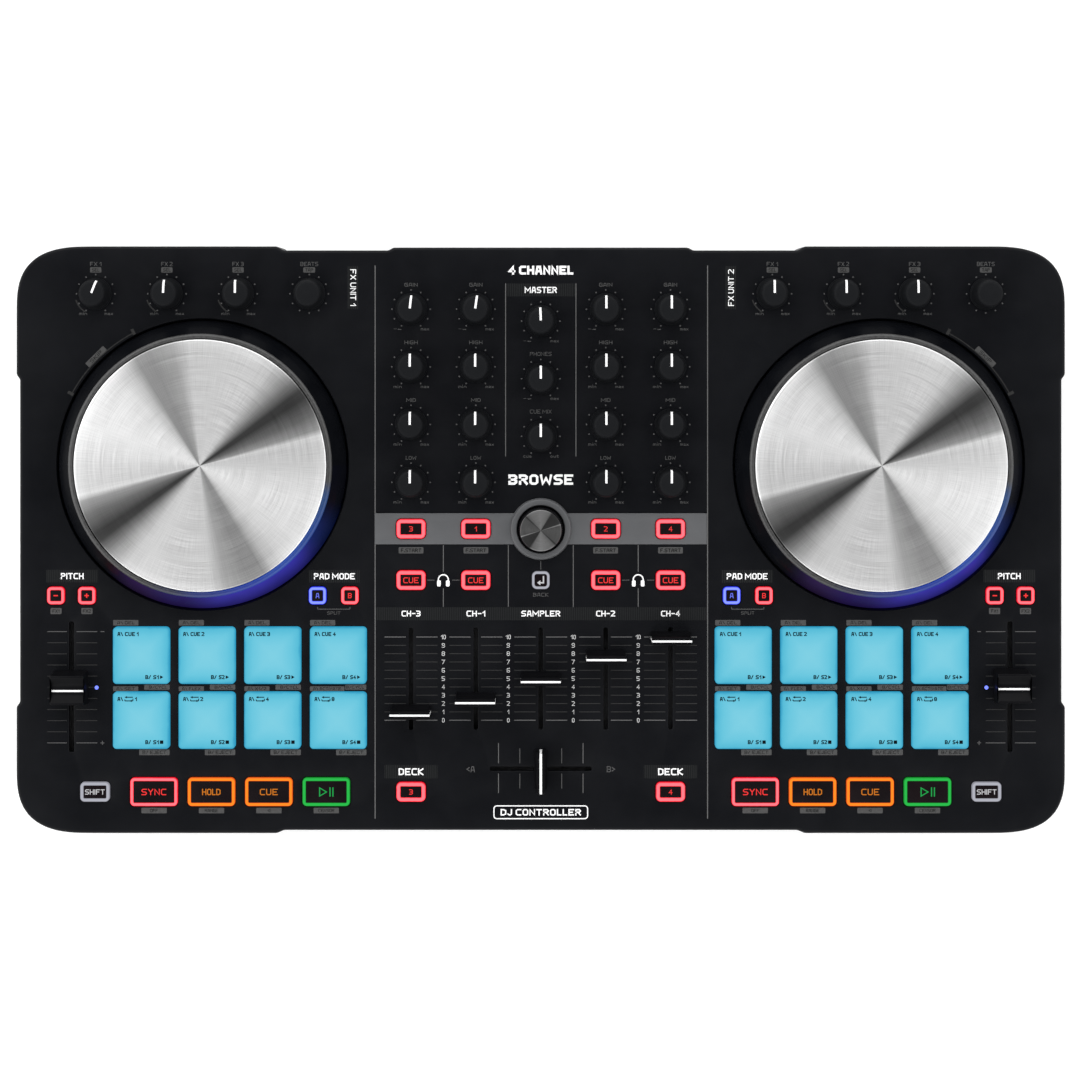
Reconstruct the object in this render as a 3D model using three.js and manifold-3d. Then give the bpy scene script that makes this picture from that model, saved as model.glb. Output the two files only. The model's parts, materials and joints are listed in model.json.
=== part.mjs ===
// A four-channel DJ controller: two jog wheels, two pad decks and a mixer in one flat case.
// Millimetres, +Z up, +X to the right, +Y to the rear. The origin is at the centre of the
// footprint, on the surface that the feet stand on.
import * as THREE from 'three';
import { mergeVertices } from 'three/addons/utils/BufferGeometryUtils.js';
import Module from 'manifold-3d';

const wasm = await Module();
wasm.setup();

// ---------- driving dimensions ----------
const HALF_WIDTH = 273; // at the four corner guards
const HALF_DEPTH = 152.8; // at the four corner guards
const FOOT_TOP = 4;
const CASE_BOTTOM = 4.3;
const PARTING = 24; // height of the joint between the two shells
const PANEL = 41; // height of the control surface
const WALL = 2.6;
const SKIN = 2.5; // thickness of the panel and of the case floor
const GAP = 0.3; // between touching pieces
const HALF_GAP = GAP / 2;

const SIDE_INSET = 1.8; // the sides step in between the corner guards
const REAR_INSET = 2.1;
const REAR_BUMP_INSET = 0.6; // a shallow swell over the sockets
const FRONT_INSET = 1.6;
const EDGE_CHAMFER = 1.2;
const CORNER_REACH = [39, 33]; // how far each rounded corner runs along X and Y
const CORNER_POWER = 2.8; // superellipse exponent of the corners
const CORNER_STEPS = 7;

const JOG = { x: 176, y: 39.2, wellRadius: 75.8, skirtRadius: 75, discRadius: 65.4, top: 53 };
const JOG_SEGMENTS = 44;
const WELL_FLOOR = 31;
const SPINDLE_RADIUS = 4.9;

const KNOB = { baseRadius: 8.4, topRadius: 6.8, height: 15, shaftRadius: 3, holeRadius: 3.7 };
const BROWSE = { x: 0, y: 5.7, radius: 11.4, height: 12, bezelRadius: 16.1, wellRadius: 12.5 };
const KNOB_SEGMENTS = 12;
const KNOB_FLOAT = 0.5; // clearance between a turning knob and the panel
const SHAFT_END = 34.4;
const COMPONENT_TOP = 33.9; // tops of the pots and slide pots on the board

const EFFECT_KNOB_Y = 128.1;
const EFFECT_KNOB_X = 120.5;
const EFFECT_KNOB_PITCH = 37.03;
const CHANNEL_X = [['ch3', -67.5], ['ch1', -33.8], ['ch2', 33.8], ['ch4', 67.5]];
const MIXER_ROWS = [['gain', 120.1], ['high', 90.1], ['mid', 60.1], ['low', 30]];
const CENTRE_KNOBS = [['master', 113.9], ['phones', 83.9], ['cue_mix', 53.9]];

const FADER_SLOT = { y: -72.2, halfLength: 26.5, halfWidth: 1.1 };
const FADER_CAP = { length: 20.5, base: 3.3, waist: 1.9, top: 2.2, height: 18 }; // half thicknesses
const FADER_REST = { ch3: -16.7, ch1: -10.3, sampler: 0.5, ch2: 11.8, ch4: 21.4 };
const CROSSFADER_Y = -119.1;
const CROSSFADER_HALF_SLOT = 25;
const PITCH_SLOT = { x: 244.2, y: -76.5, halfLength: 33.1, halfWidth: 1.3 };
const PITCH_CAP = { width: 17.6, depth: 17.4, height: 15, dish: 2.6 };
const PITCH_REST = { left: 0, right: 1 };
const STEM = { thickness: 1.1, halfLength: 2 };

const KEY_TOP = 42.2;
const KEY_SIZE = [15.3, 10.2];
const SMALL_KEY = [9.2, 9.2];
const TRANSPORT_KEY = [24.7, 14.8];
const PAD_SIZE = [29.4, 29.5];
const KEY_CLEARANCE = 0.35;
const KEY_CORNER = 1.2;
const KEY_WEB = [36.2, 37.4]; // the sheet that joins the keys of one mat under the panel
const WEB_MARGIN = 5;
const LOAD_KEY_Y = 5.8;
const CUE_KEY_Y = -20.9;
const DECK_KEY_Y = -131;
const PITCH_KEY_X = [236.15, 252.25];
const PAD_MODE_X = [99.3, 116.1];
const MODE_KEY_Y = -28.9;
const TRANSPORT_X = 111.6;
const TRANSPORT_PITCH = 29.87;
const SHIFT_X = 231.9;
const TRANSPORT_Y = -131;
const PAD_X = 105.4;
const PAD_PITCH = 34.15;
const PAD_ROWS = [-60.1, -93.9];

const BOARD = { bottom: 24.9, thickness: 1.6, halfX: 255, halfY: 138, corner: 22 };
const FOOT = { x: 235, y: 118, radius: 9.5 };
const BOSSES = [[257, 134], [150, 143], [263.4, 0], [257, -134], [90, -143.5]];
const BOSS_RADIUS = 4;
const SCREW_RECESS = 2.4; // radius of the hole that the screw head sinks into
const TRIM = { halfX: 86.4, rear: 13.9, front: -2.3, recess: 40, bottom: 40.3, top: 41.2 };
const BEZEL_TOP = 43.2;

const JACK_BAY = { halfX: 124.8, depth: 12, mouthLow: 9, mouthHigh: 22, socketZ: 15.5 };
const PHONES_BAY = { x: -200, halfX: 15, low: 9, high: 21, depth: 15 };
const JACK_RADIUS = 3.3; // bore of a 6.3 mm jack socket
const MINI_JACK_RADIUS = 1.8; // bore of a 3.5 mm jack socket
const PHONO_RADIUS = 4.15; // outside of a phono socket's collar
const JACKS_X = [-95, 15, 36];
const PHONO_X = [-58, -44, -24, -10, 57, 71];
const EARTH_POST_X = -74;
const USB = { x: 88, halfX: 4.2, halfZ: 3.9, tongueX: 2.8, tongueZ: 1.6 };
const POWER_INLET = { x: 108, radius: 3.1, pin: 1 };

// ---------- solids ----------

/** A closed solid from any closed three.js geometry. */
function solidOf(geometry) {
  geometry.deleteAttribute('normal');
  geometry.deleteAttribute('uv');
  const merged = mergeVertices(geometry, 1e-4);
  return new wasm.Manifold(new wasm.Mesh({
    numProp: 3,
    vertProperties: new Float32Array(merged.attributes.position.array),
    triVerts: new Uint32Array(merged.index.array),
  }));
}

/** A box between two values on each axis. */
function block([x0, x1], [y0, y1], [z0, z1]) {
  const geometry = new THREE.BoxGeometry(x1 - x0, y1 - y0, z1 - z0);
  geometry.translate((x0 + x1) / 2, (y0 + y1) / 2, (z0 + z1) / 2);
  return solidOf(geometry);
}

/** A round bar that stands on (x, y) between two heights. */
function post(x, y, radius, [z0, z1], segments = KNOB_SEGMENTS) {
  const geometry = new THREE.CylinderGeometry(radius, radius, z1 - z0, segments);
  geometry.rotateX(Math.PI / 2);
  geometry.translate(x, y, (z0 + z1) / 2);
  return solidOf(geometry);
}

/** A round bar that lies along Y. */
function bar(x, z, radius, [y0, y1], segments = 12) {
  const geometry = new THREE.CylinderGeometry(radius, radius, y1 - y0, segments);
  geometry.translate(x, (y0 + y1) / 2, z);
  return solidOf(geometry);
}

/** A solid turned about the vertical axis from [radius, height] pairs, from its foot to its top. */
function turned(profile, segments) {
  const geometry = new THREE.LatheGeometry(profile.map(([r, z]) => new THREE.Vector2(r, z)), segments);
  geometry.rotateX(Math.PI / 2);
  return solidOf(geometry);
}

/** An upright prism on an outline of [x, y] points. */
function prism(points, [z0, z1], chamfer = 0) {
  const shape = new THREE.Shape(points.map(([x, y]) => new THREE.Vector2(x, y)));
  const geometry = new THREE.ExtrudeGeometry(shape, {
    depth: z1 - z0 - 2 * chamfer,
    bevelEnabled: chamfer > 0,
    bevelThickness: chamfer,
    bevelSize: chamfer,
    bevelOffset: -chamfer,
    bevelSegments: 1,
  });
  geometry.translate(0, 0, z0 + chamfer);
  return solidOf(geometry);
}

/** The outline of a rectangle with cut corners. */
function cutRectangle(x, y, [width, depth], cut) {
  const a = width / 2;
  const b = depth / 2;
  const corners = [[a, b - cut], [a - cut, b], [cut - a, b], [-a, b - cut]];
  const mirrored = corners.map(([px, py]) => [-px, -py]);
  return [...corners, ...mirrored].map(([px, py]) => [x + px, y + py]);
}

function unite(solids) {
  return solids.reduce((whole, solid) => whole.add(solid));
}

function cutAll(body, cutters) {
  return cutters.reduce((whole, cutter) => whole.subtract(cutter), body);
}

// ---------- the case outline ----------

/** Points of one rounded corner in the first quadrant, from the rear edge round to the side. */
function cornerPoints(halfX, halfY, [reachX, reachY]) {
  const points = [];
  for (let step = 0; step <= CORNER_STEPS; step += 1) {
    const angle = (step / CORNER_STEPS) * Math.PI / 2;
    const x = halfX - reachX + reachX * Math.sin(angle) ** (2 / CORNER_POWER);
    const y = halfY - reachY + reachY * Math.cos(angle) ** (2 / CORNER_POWER);
    points.push([x, y]);
  }
  return points;
}

/** Mirrors two quarters, each listed from the centre line to the side, into a whole outline. */
function mirroredOutline(rearQuarter, frontQuarter) {
  const right = [...rearQuarter, ...frontQuarter.map(([x, y]) => [x, -y]).reverse()];
  const left = right.map(([x, y]) => [-x, y]).reverse();
  return [...right, ...left].reverse();
}

/** The outside of the case, with its four corner guards and the swell over the sockets. */
function caseOutline() {
  const corner = cornerPoints(HALF_WIDTH, HALF_DEPTH, CORNER_REACH);
  const sideX = HALF_WIDTH - SIDE_INSET;
  const rear = [
    [76, HALF_DEPTH - REAR_BUMP_INSET], [80, HALF_DEPTH - REAR_INSET],
    [133, HALF_DEPTH - REAR_INSET], [138, HALF_DEPTH],
    ...corner, [HALF_WIDTH, 86.5], [sideX, 83],
  ];
  const front = [
    [133, HALF_DEPTH - FRONT_INSET], [138, HALF_DEPTH],
    ...corner, [HALF_WIDTH, 87.5], [sideX, 84],
  ];
  return mirroredOutline(rear, front);
}

/** The inside of the walls. */
function cavityOutline() {
  const reach = CORNER_REACH.map((length) => length - WALL);
  const corner = cornerPoints(HALF_WIDTH - SIDE_INSET - WALL, HALF_DEPTH - REAR_INSET - WALL, reach);
  return mirroredOutline(corner, corner);
}

const shell = prism(caseOutline(), [CASE_BOTTOM, PANEL], EDGE_CHAMFER);
const everywhere = [-HALF_WIDTH - 1, HALF_WIDTH + 1];

function mirrorX(points) {
  return points.flatMap(([x, y]) => [[x, y], [-x, y]]);
}

// ---------- layout of the controls ----------

const keyOn = (x, y, size) => ({ x, y, size });
const range = (count) => [...Array(count).keys()];
const SIDES = [['left', -1], ['right', 1]];

/** Where the keys of each mat lie; each mat is one moulding with one web. */
function keyMats() {
  const mats = [];
  for (const [side, sign] of SIDES) {
    const pads = PAD_ROWS.flatMap((y) => range(4).map((k) => (
      keyOn(sign * (PAD_X + k * PAD_PITCH), y, PAD_SIZE))));
    const transport = range(4).map((k) => (
      keyOn(sign * (TRANSPORT_X + k * TRANSPORT_PITCH), TRANSPORT_Y, TRANSPORT_KEY)));
    const shift = keyOn(sign * SHIFT_X, TRANSPORT_Y, KEY_SIZE);
    mats.push([`${side}_pad_mat`, pads]);
    mats.push([`${side}_transport_keys`, [...transport, shift]]);
    mats.push([`${side}_pitch_keys`, PITCH_KEY_X.map((x) => keyOn(sign * x, MODE_KEY_Y, SMALL_KEY))]);
    mats.push([`${side}_pad_mode_keys`, PAD_MODE_X.map((x) => keyOn(sign * x, MODE_KEY_Y, SMALL_KEY))]);
  }
  const channelKeys = (y) => CHANNEL_X.map(([, x]) => keyOn(x, y, KEY_SIZE));
  mats.push(['mixer_keys', [
    ...channelKeys(LOAD_KEY_Y), ...channelKeys(CUE_KEY_Y), keyOn(0, CUE_KEY_Y, SMALL_KEY)]]);
  mats.push(['deck_keys', [-67.5, 67.5].map((x) => keyOn(x, DECK_KEY_Y, KEY_SIZE))]);
  return mats;
}

/** Every knob that has a shaft through the panel: its name and place. */
function knobPlaces() {
  const effects = SIDES.flatMap(([side, sign]) => range(4).map((k) => {
    const label = (sign > 0 ? ['fx1', 'fx2', 'fx3', 'beats'] : ['beats', 'fx3', 'fx2', 'fx1'])[k];
    return [`${side}_${label}_knob`, sign * (EFFECT_KNOB_X + k * EFFECT_KNOB_PITCH), EFFECT_KNOB_Y];
  }));
  const mixer = CHANNEL_X.flatMap(([channel, x]) => (
    MIXER_ROWS.map(([row, y]) => [`${channel}_${row}_knob`, x, y])));
  const centre = CENTRE_KNOBS.map(([name, y]) => [`${name}_knob`, 0, y]);
  return [...effects, ...mixer, ...centre];
}

const faderPlaces = [...CHANNEL_X, ['sampler', 0]];

// ---------- the pieces ----------

function topCover() {
  const upper = [PARTING + HALF_GAP, PANEL + 1];
  let body = shell.intersect(block(everywhere, everywhere, upper));
  body = body.subtract(prism(cavityOutline(), [0, PANEL - SKIN]));
  for (const [x, y] of mirrorX(BOSSES)) {
    body = body.add(post(x, y, BOSS_RADIUS, [PARTING + HALF_GAP, PANEL - SKIN + 1], 8));
  }
  for (const x of [-JOG.x, JOG.x]) {
    const pan = post(x, JOG.y, JOG.wellRadius + SKIN, [WELL_FLOOR - 2, PANEL - 1], JOG_SEGMENTS);
    const well = post(x, JOG.y, JOG.wellRadius, [WELL_FLOOR, PANEL + 1], JOG_SEGMENTS);
    const bush = post(x, JOG.y, SPINDLE_RADIUS + 4, [WELL_FLOOR - 3.5, WELL_FLOOR + 6]);
    const bore = post(x, JOG.y, SPINDLE_RADIUS + 0.4, [WELL_FLOOR - 4, WELL_FLOOR + 7]);
    body = body.add(pan).subtract(well).add(bush).subtract(bore);
  }
  const through = [PANEL - SKIN - 1, PANEL + 1];
  const knobHoles = [...knobPlaces(), ['browse', BROWSE.x, BROWSE.y]]
    .map(([, x, y]) => post(x, y, KNOB.holeRadius, through, 8));
  const keyHoles = keyMats().flatMap(([, keys]) => keys.map(({ x, y, size }) => {
    const opening = size.map((length) => length + 2 * KEY_CLEARANCE);
    return prism(cutRectangle(x, y, opening, KEY_CORNER), through);
  }));
  const slots = faderPlaces.map(([, x]) => faderSlot(x, FADER_SLOT.y, FADER_SLOT, through));
  slots.push(...[-PITCH_SLOT.x, PITCH_SLOT.x].map((x) => faderSlot(x, PITCH_SLOT.y, PITCH_SLOT, through)));
  slots.push(block(
    [-CROSSFADER_HALF_SLOT, CROSSFADER_HALF_SLOT],
    [CROSSFADER_Y - 1.2, CROSSFADER_Y + 1.2], through));
  return cutAll(body, [...knobHoles, ...keyHoles, ...slots, trimOutline(GAP, [TRIM.recess, PANEL + 1])]);
}

function faderSlot(x, y, { halfLength, halfWidth }, z) {
  return block([x - halfWidth, x + halfWidth], [y - halfLength, y + halfLength], z);
}

/** The plan of the browse trim, grown all round by a margin. */
function trimOutline(margin, z) {
  const strip = block(
    [-TRIM.halfX - margin, TRIM.halfX + margin], [TRIM.front - margin, TRIM.rear + margin], z);
  return strip.add(post(BROWSE.x, BROWSE.y, BROWSE.bezelRadius + margin, z, 32));
}

/** The grey strip round the browse encoder, with its raised round bezel. */
function browseTrim() {
  const bezel = post(BROWSE.x, BROWSE.y, BROWSE.bezelRadius, [TRIM.bottom, BEZEL_TOP], 32);
  const dish = post(BROWSE.x, BROWSE.y, BROWSE.wellRadius, [TRIM.top, BEZEL_TOP + 1], 32);
  const shaftHole = post(BROWSE.x, BROWSE.y, KNOB.holeRadius, [TRIM.bottom - 1, TRIM.top + 1], 8);
  const keyHoles = CHANNEL_X.map(([, x]) => {
    const opening = KEY_SIZE.map((length) => length + 2 * KEY_CLEARANCE);
    return prism(cutRectangle(x, LOAD_KEY_Y, opening, KEY_CORNER), [TRIM.bottom - 1, TRIM.top + 1]);
  });
  const plate = trimOutline(0, [TRIM.bottom, TRIM.top]).add(bezel);
  return cutAll(plate, [dish, shaftHole, ...keyHoles]);
}

function bottomCase() {
  const lower = [0, PARTING - HALF_GAP];
  let body = shell.intersect(block(everywhere, everywhere, lower));
  body = body.subtract(prism(cavityOutline(), [CASE_BOTTOM + SKIN, PANEL]));
  for (const [x, y] of mirrorX(BOSSES)) {
    body = body.add(post(x, y, BOSS_RADIUS, [CASE_BOTTOM + 1, PARTING - HALF_GAP], 8));
    body = body.subtract(post(x, y, SCREW_RECESS, [CASE_BOTTOM - 1, CASE_BOTTOM + 6], 8));
  }
  const rearWindow = block(
    [-JACK_BAY.halfX, JACK_BAY.halfX], [HALF_DEPTH - REAR_INSET - WALL - 1, HALF_DEPTH + 1],
    [CASE_BOTTOM + SKIN, PARTING]);
  const frontWindow = block(
    [PHONES_BAY.x - PHONES_BAY.halfX, PHONES_BAY.x + PHONES_BAY.halfX],
    [-HALF_DEPTH - 1, -HALF_DEPTH + FRONT_INSET + WALL + 2], [PHONES_BAY.low, PHONES_BAY.high]);
  return cutAll(body, [rearWindow, frontWindow]);
}

/** A shroud open to the rear, with the sockets on its back wall. */
function rearJackPanel() {
  const mouthY = HALF_DEPTH - REAR_INSET - GAP;
  const wallY = mouthY - JACK_BAY.depth + 2;
  const halfX = JACK_BAY.halfX - GAP;
  let body = block(
    [-halfX, halfX], [wallY - 2, mouthY], [CASE_BOTTOM + SKIN + GAP, PARTING - GAP]);
  body = body.subtract(block(
    [2 - halfX, halfX - 2], [wallY, mouthY + 1], [JACK_BAY.mouthLow, JACK_BAY.mouthHigh]));
  const z = JACK_BAY.socketZ;
  const housings = [...JACKS_X, ...PHONO_X, USB.x, POWER_INLET.x].map((x) => (
    block([x - 6.2, x + 6.2], [wallY - 14, wallY - 1], [z - 6, z + 6])));
  const collars = [
    ...JACKS_X.map((x) => bar(x, z, 5.4, [wallY - 1, wallY + 2.5])),
    ...PHONO_X.map((x) => bar(x, z, PHONO_RADIUS, [wallY - 1, wallY + 8.5])),
    bar(EARTH_POST_X, z, 2.6, [wallY - 1, wallY + 7], 8),
  ];
  const bores = [
    ...JACKS_X.map((x) => bar(x, z, JACK_RADIUS, [wallY - 12, wallY + 3])),
    ...PHONO_X.map((x) => bar(x, z, 1.6, [wallY - 8, wallY + 9], 8)),
    usbSocket(z, wallY),
    powerInlet(z, wallY),
  ];
  return cutAll(unite([body, ...housings, ...collars]), bores);
}

/** The hollow of the square USB socket, round its tongue. */
function usbSocket(z, wallY) {
  const { x, halfX, halfZ, tongueX, tongueZ } = USB;
  const mouth = block([x - halfX, x + halfX], [wallY - 10, wallY + 1], [z - halfZ, z + halfZ]);
  const tongue = block([x - tongueX, x + tongueX], [wallY - 11, wallY - 1], [z - tongueZ, z + tongueZ]);
  return mouth.subtract(tongue);
}

/** The hollow of the low-voltage inlet, round its pin. */
function powerInlet(z, wallY) {
  const { x, radius, pin } = POWER_INLET;
  return bar(x, z, radius, [wallY - 9, wallY + 1]).subtract(bar(x, z, pin, [wallY - 10, wallY + 1], 8));
}

/** The block behind the front edge with the large and the small headphone socket. */
function headphoneSockets() {
  const { x, halfX, low, high, depth } = PHONES_BAY;
  const faceY = -HALF_DEPTH + 0.8;
  const z = (low + high) / 2;
  const body = block([x + GAP - halfX, x + halfX - GAP], [faceY, faceY + depth], [low + GAP, high - GAP]);
  const large = bar(x - 6, z, JACK_RADIUS, [faceY - 1, faceY + depth - 2]);
  const small = bar(x + 7, z, MINI_JACK_RADIUS, [faceY - 1, faceY + depth - 3], 8);
  return cutAll(body, [large, small]);
}

/** The circuit board with its potentiometers, encoders and slide potentiometers. */
function mainBoard() {
  const { bottom, thickness, halfX, halfY, corner } = BOARD;
  const top = bottom + thickness;
  const plate = prism(cutRectangle(0, 0, [2 * halfX, 2 * halfY], corner), [bottom, top]);
  const heights = [top - 0.5, COMPONENT_TOP];
  const pots = [...knobPlaces(), ['browse', BROWSE.x, BROWSE.y]]
    .map(([, x, y]) => block([x - 5.5, x + 5.5], [y - 5.5, y + 5.5], heights));
  const slides = faderPlaces.map(([, x]) => block([x - 4.5, x + 4.5], [-107, -37.5], heights));
  slides.push(...[-PITCH_SLOT.x, PITCH_SLOT.x].map((x) => (
    block([x - 5, x + 5], [PITCH_SLOT.y - 42, PITCH_SLOT.y + 42], heights))));
  slides.push(block([-37, 37], [CROSSFADER_Y - 4.5, CROSSFADER_Y + 4.5], heights));
  return unite([plate, ...pots, ...slides]);
}

/** The dark platter of a jog wheel: spindle, web and sloping skirt, with a seat for the disc. */
function jogPlatter() {
  const { skirtRadius, discRadius, top } = JOG;
  const seat = top - 2.4;
  return turned([
    [0, WELL_FLOOR - 2.5], [SPINDLE_RADIUS, WELL_FLOOR - 2.5], [SPINDLE_RADIUS, seat - 4],
    [58, seat - 4], [skirtRadius - 2.4, WELL_FLOOR + 1.5], [skirtRadius, WELL_FLOOR + 1.5],
    [skirtRadius, PANEL - 0.4], [74, PANEL + 2.6], [69.4, PANEL + 9.6], [67.4, top - 0.4],
    [discRadius + 0.4, top - 0.2], [discRadius + 0.4, seat], [0, seat],
  ], JOG_SEGMENTS);
}

/** The spun aluminium disc that covers the platter. */
function jogDisc() {
  const { discRadius, top } = JOG;
  return turned([
    [0, top - 2.1], [discRadius, top - 2.1], [discRadius, top - 0.5], [discRadius - 0.5, top], [0, top],
  ], JOG_SEGMENTS);
}

/** A knob with its shaft, standing on the origin of the panel plane. */
function knob(baseRadius, topRadius, height, segments = KNOB_SEGMENTS) {
  return turned([
    [0, SHAFT_END - PANEL], [KNOB.shaftRadius, SHAFT_END - PANEL], [KNOB.shaftRadius, KNOB_FLOAT],
    [baseRadius, KNOB_FLOAT], [baseRadius - 0.2, KNOB_FLOAT + 1.5], [topRadius, height], [0, height],
  ], segments);
}

/** A fader cap: a waisted profile extruded along the finger edge, on a thin stem. */
function faderCap({ length, base, waist, top, height }) {
  const half = [
    [base, KNOB_FLOAT], [base, 3.2], [waist, 7], [waist, height - 3], [top, height - 1], [top - 0.5, height],
  ];
  return extrudedAlongX([...half, ...half.map(([y, z]) => [-y, z]).reverse()], length).add(stem());
}

/** A profile of [y, z] points extruded along X, centred on the origin. */
function extrudedAlongX(profile, length) {
  const shape = new THREE.Shape(profile.map(([y, z]) => new THREE.Vector2(y, z)));
  const geometry = new THREE.ExtrudeGeometry(shape, { depth: length, bevelEnabled: false });
  geometry.translate(0, 0, -length / 2);
  geometry.rotateX(Math.PI / 2);
  geometry.rotateZ(Math.PI / 2);
  return solidOf(geometry);
}

/** The blade that joins a cap to its slide through the slot. */
function stem() {
  const { thickness, halfLength } = STEM;
  return block([-thickness / 2, thickness / 2], [-halfLength, halfLength], [SHAFT_END - PANEL, 1]);
}

/** The square pitch cap, dished along its middle for the finger. */
function pitchCap() {
  const { width, depth, height, dish } = PITCH_CAP;
  const a = depth / 2;
  const half = [[a, KNOB_FLOAT], [a, 4], [a - 1.2, height], [a - 2.2, height], [2.5, height - dish]];
  return extrudedAlongX([...half, ...half.map(([y, z]) => [-y, z]).reverse()], width).add(stem());
}

/** One silicone mat: raised keys on a web that holds them together under the panel. */
function keyMat(name, keys) {
  const xs = keys.map(({ x }) => x);
  const ys = keys.map(({ y }) => y);
  const reachX = keys[0].size[0] / 2 + WEB_MARGIN - 1;
  const reachY = keys[0].size[1] / 2 + WEB_MARGIN - 3;
  let web = block(
    [Math.min(...xs) - reachX, Math.max(...xs) + reachX],
    [Math.min(...ys) - reachY, Math.max(...ys) + reachY], KEY_WEB);
  if (name === 'mixer_keys') {
    web = web.subtract(block([-20, 20], [CUE_KEY_Y + 10, LOAD_KEY_Y + 20], [0, PANEL]));
  }
  const heights = [KEY_WEB[0] + 0.4, KEY_TOP];
  const caps = keys.map(({ x, y, size }) => prism(cutRectangle(x, y, size, KEY_CORNER), heights));
  return unite([web, ...caps]);
}

// ---------- assembly ----------

const FINISHES = {
  body: [0x1b1c1f, 0.55, 0],
  base: [0x161719, 0.7, 0],
  board: [0x1f4a33, 0.6, 0.1],
  socket: [0x2a2b2e, 0.5, 0.2],
  trim: [0x626365, 0.5, 0.3],
  rubber: [0x151515, 0.9, 0],
  platter: [0x121317, 0.25, 0],
  disc: [0xd2d2d3, 0.3, 1],
  knob: [0x1a1b1e, 0.6, 0],
  browse: [0x55565a, 0.35, 0.9],
  cap: [0x1d1e21, 0.4, 0],
  pads: [0x78d0e4, 0.6, 0],
  keys: [0x303136, 0.6, 0],
};

const controller = new THREE.Group();

function place(parent, name, finish, solid) {
  const mesh = solid.getMesh();
  const geometry = new THREE.BufferGeometry();
  geometry.setAttribute('position', new THREE.BufferAttribute(mesh.vertProperties, 3));
  geometry.setIndex(new THREE.BufferAttribute(mesh.triVerts, 1));
  geometry.computeVertexNormals();
  const [color, roughness, metalness] = FINISHES[finish];
  const material = new THREE.MeshStandardMaterial({ color, roughness, metalness });
  const node = new THREE.Mesh(geometry, material);
  node.name = name;
  parent.add(node);
}

function groupAt(x, y, z) {
  const group = new THREE.Group();
  group.position.set(x, y, z);
  controller.add(group);
  return group;
}

place(controller, 'top_cover', 'body', topCover());
place(controller, 'bottom_case', 'base', bottomCase());
place(controller, 'main_board', 'board', mainBoard());
place(controller, 'rear_jack_panel', 'socket', rearJackPanel());
place(controller, 'headphone_sockets', 'socket', headphoneSockets());
place(controller, 'browse_trim', 'trim', browseTrim());

for (const [end, y] of [['front', -FOOT.y], ['rear', FOOT.y]]) {
  for (const [side, sign] of SIDES) {
    const foot = post(0, 0, FOOT.radius, [0, FOOT_TOP], 20);
    place(groupAt(sign * FOOT.x, y, 0), `foot_${end}_${side}`, 'rubber', foot);
  }
}

for (const [side, sign] of SIDES) {
  const jog = groupAt(sign * JOG.x, JOG.y, 0);
  place(jog, `${side}_jog_platter`, 'platter', jogPlatter());
  place(jog, `${side}_jog_disc`, 'disc', jogDisc());
  const capY = PITCH_SLOT.y + PITCH_REST[side];
  place(groupAt(sign * PITCH_SLOT.x, capY, PANEL), `${side}_pitch_cap`, 'cap', pitchCap());
}

for (const [name, x, y] of knobPlaces()) {
  const solid = knob(KNOB.baseRadius, KNOB.topRadius, KNOB.height);
  place(groupAt(x, y, PANEL), name, 'knob', solid);
}
const browseKnob = knob(BROWSE.radius, BROWSE.radius - 0.8, BROWSE.height, 24);
place(groupAt(BROWSE.x, BROWSE.y, PANEL), 'browse_knob', 'browse', browseKnob);

for (const [name, x] of faderPlaces) {
  const y = FADER_SLOT.y + FADER_REST[name];
  place(groupAt(x, y, PANEL), `${name}_fader_cap`, 'cap', faderCap(FADER_CAP));
}
const crossfader = groupAt(0, CROSSFADER_Y, PANEL);
crossfader.rotation.z = Math.PI / 2;
place(crossfader, 'crossfader_cap', 'cap', faderCap(FADER_CAP));

for (const [name, keys] of keyMats()) {
  place(controller, name, name.endsWith('pad_mat') ? 'pads' : 'keys', keyMat(name, keys));
}

export default controller;
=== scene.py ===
"""Looks of a four-channel DJ controller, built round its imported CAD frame.

Metres, +Z up, +X to the right, +Y to the rear. Places and sizes come from the frame; the
constants below are details that the frame doesn't hold, such as lips, rings and printing.
"""
import json
import math

import bmesh
import bpy
from mathutils import Matrix, Vector


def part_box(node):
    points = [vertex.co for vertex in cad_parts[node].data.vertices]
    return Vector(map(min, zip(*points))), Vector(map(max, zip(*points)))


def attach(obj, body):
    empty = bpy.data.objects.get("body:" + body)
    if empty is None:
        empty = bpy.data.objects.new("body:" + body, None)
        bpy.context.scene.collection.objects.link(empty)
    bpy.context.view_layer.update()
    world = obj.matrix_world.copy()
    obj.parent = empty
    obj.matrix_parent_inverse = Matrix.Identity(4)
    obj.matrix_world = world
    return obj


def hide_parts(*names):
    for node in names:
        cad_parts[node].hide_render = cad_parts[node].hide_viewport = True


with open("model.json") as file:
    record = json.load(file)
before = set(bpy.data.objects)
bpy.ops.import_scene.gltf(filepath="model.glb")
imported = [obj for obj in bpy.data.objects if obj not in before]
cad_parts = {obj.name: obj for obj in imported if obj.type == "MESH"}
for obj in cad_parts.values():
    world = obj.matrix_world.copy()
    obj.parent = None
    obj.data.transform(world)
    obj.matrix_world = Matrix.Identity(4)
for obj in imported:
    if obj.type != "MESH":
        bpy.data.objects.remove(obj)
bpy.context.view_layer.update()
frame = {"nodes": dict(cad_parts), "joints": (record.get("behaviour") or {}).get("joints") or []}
scene = bpy.context.scene

MM = 0.001
SIDES = (("left", -1), ("right", 1))
CHANNELS = ("ch3", "ch1", "ch2", "ch4")
JOINTS = {joint["name"]: joint for joint in frame["joints"]}

# ---------- values read from the frame ----------


def spot(node):
    """Centre of a CAD node's box."""
    low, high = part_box(node)
    return (low + high) / 2


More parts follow.
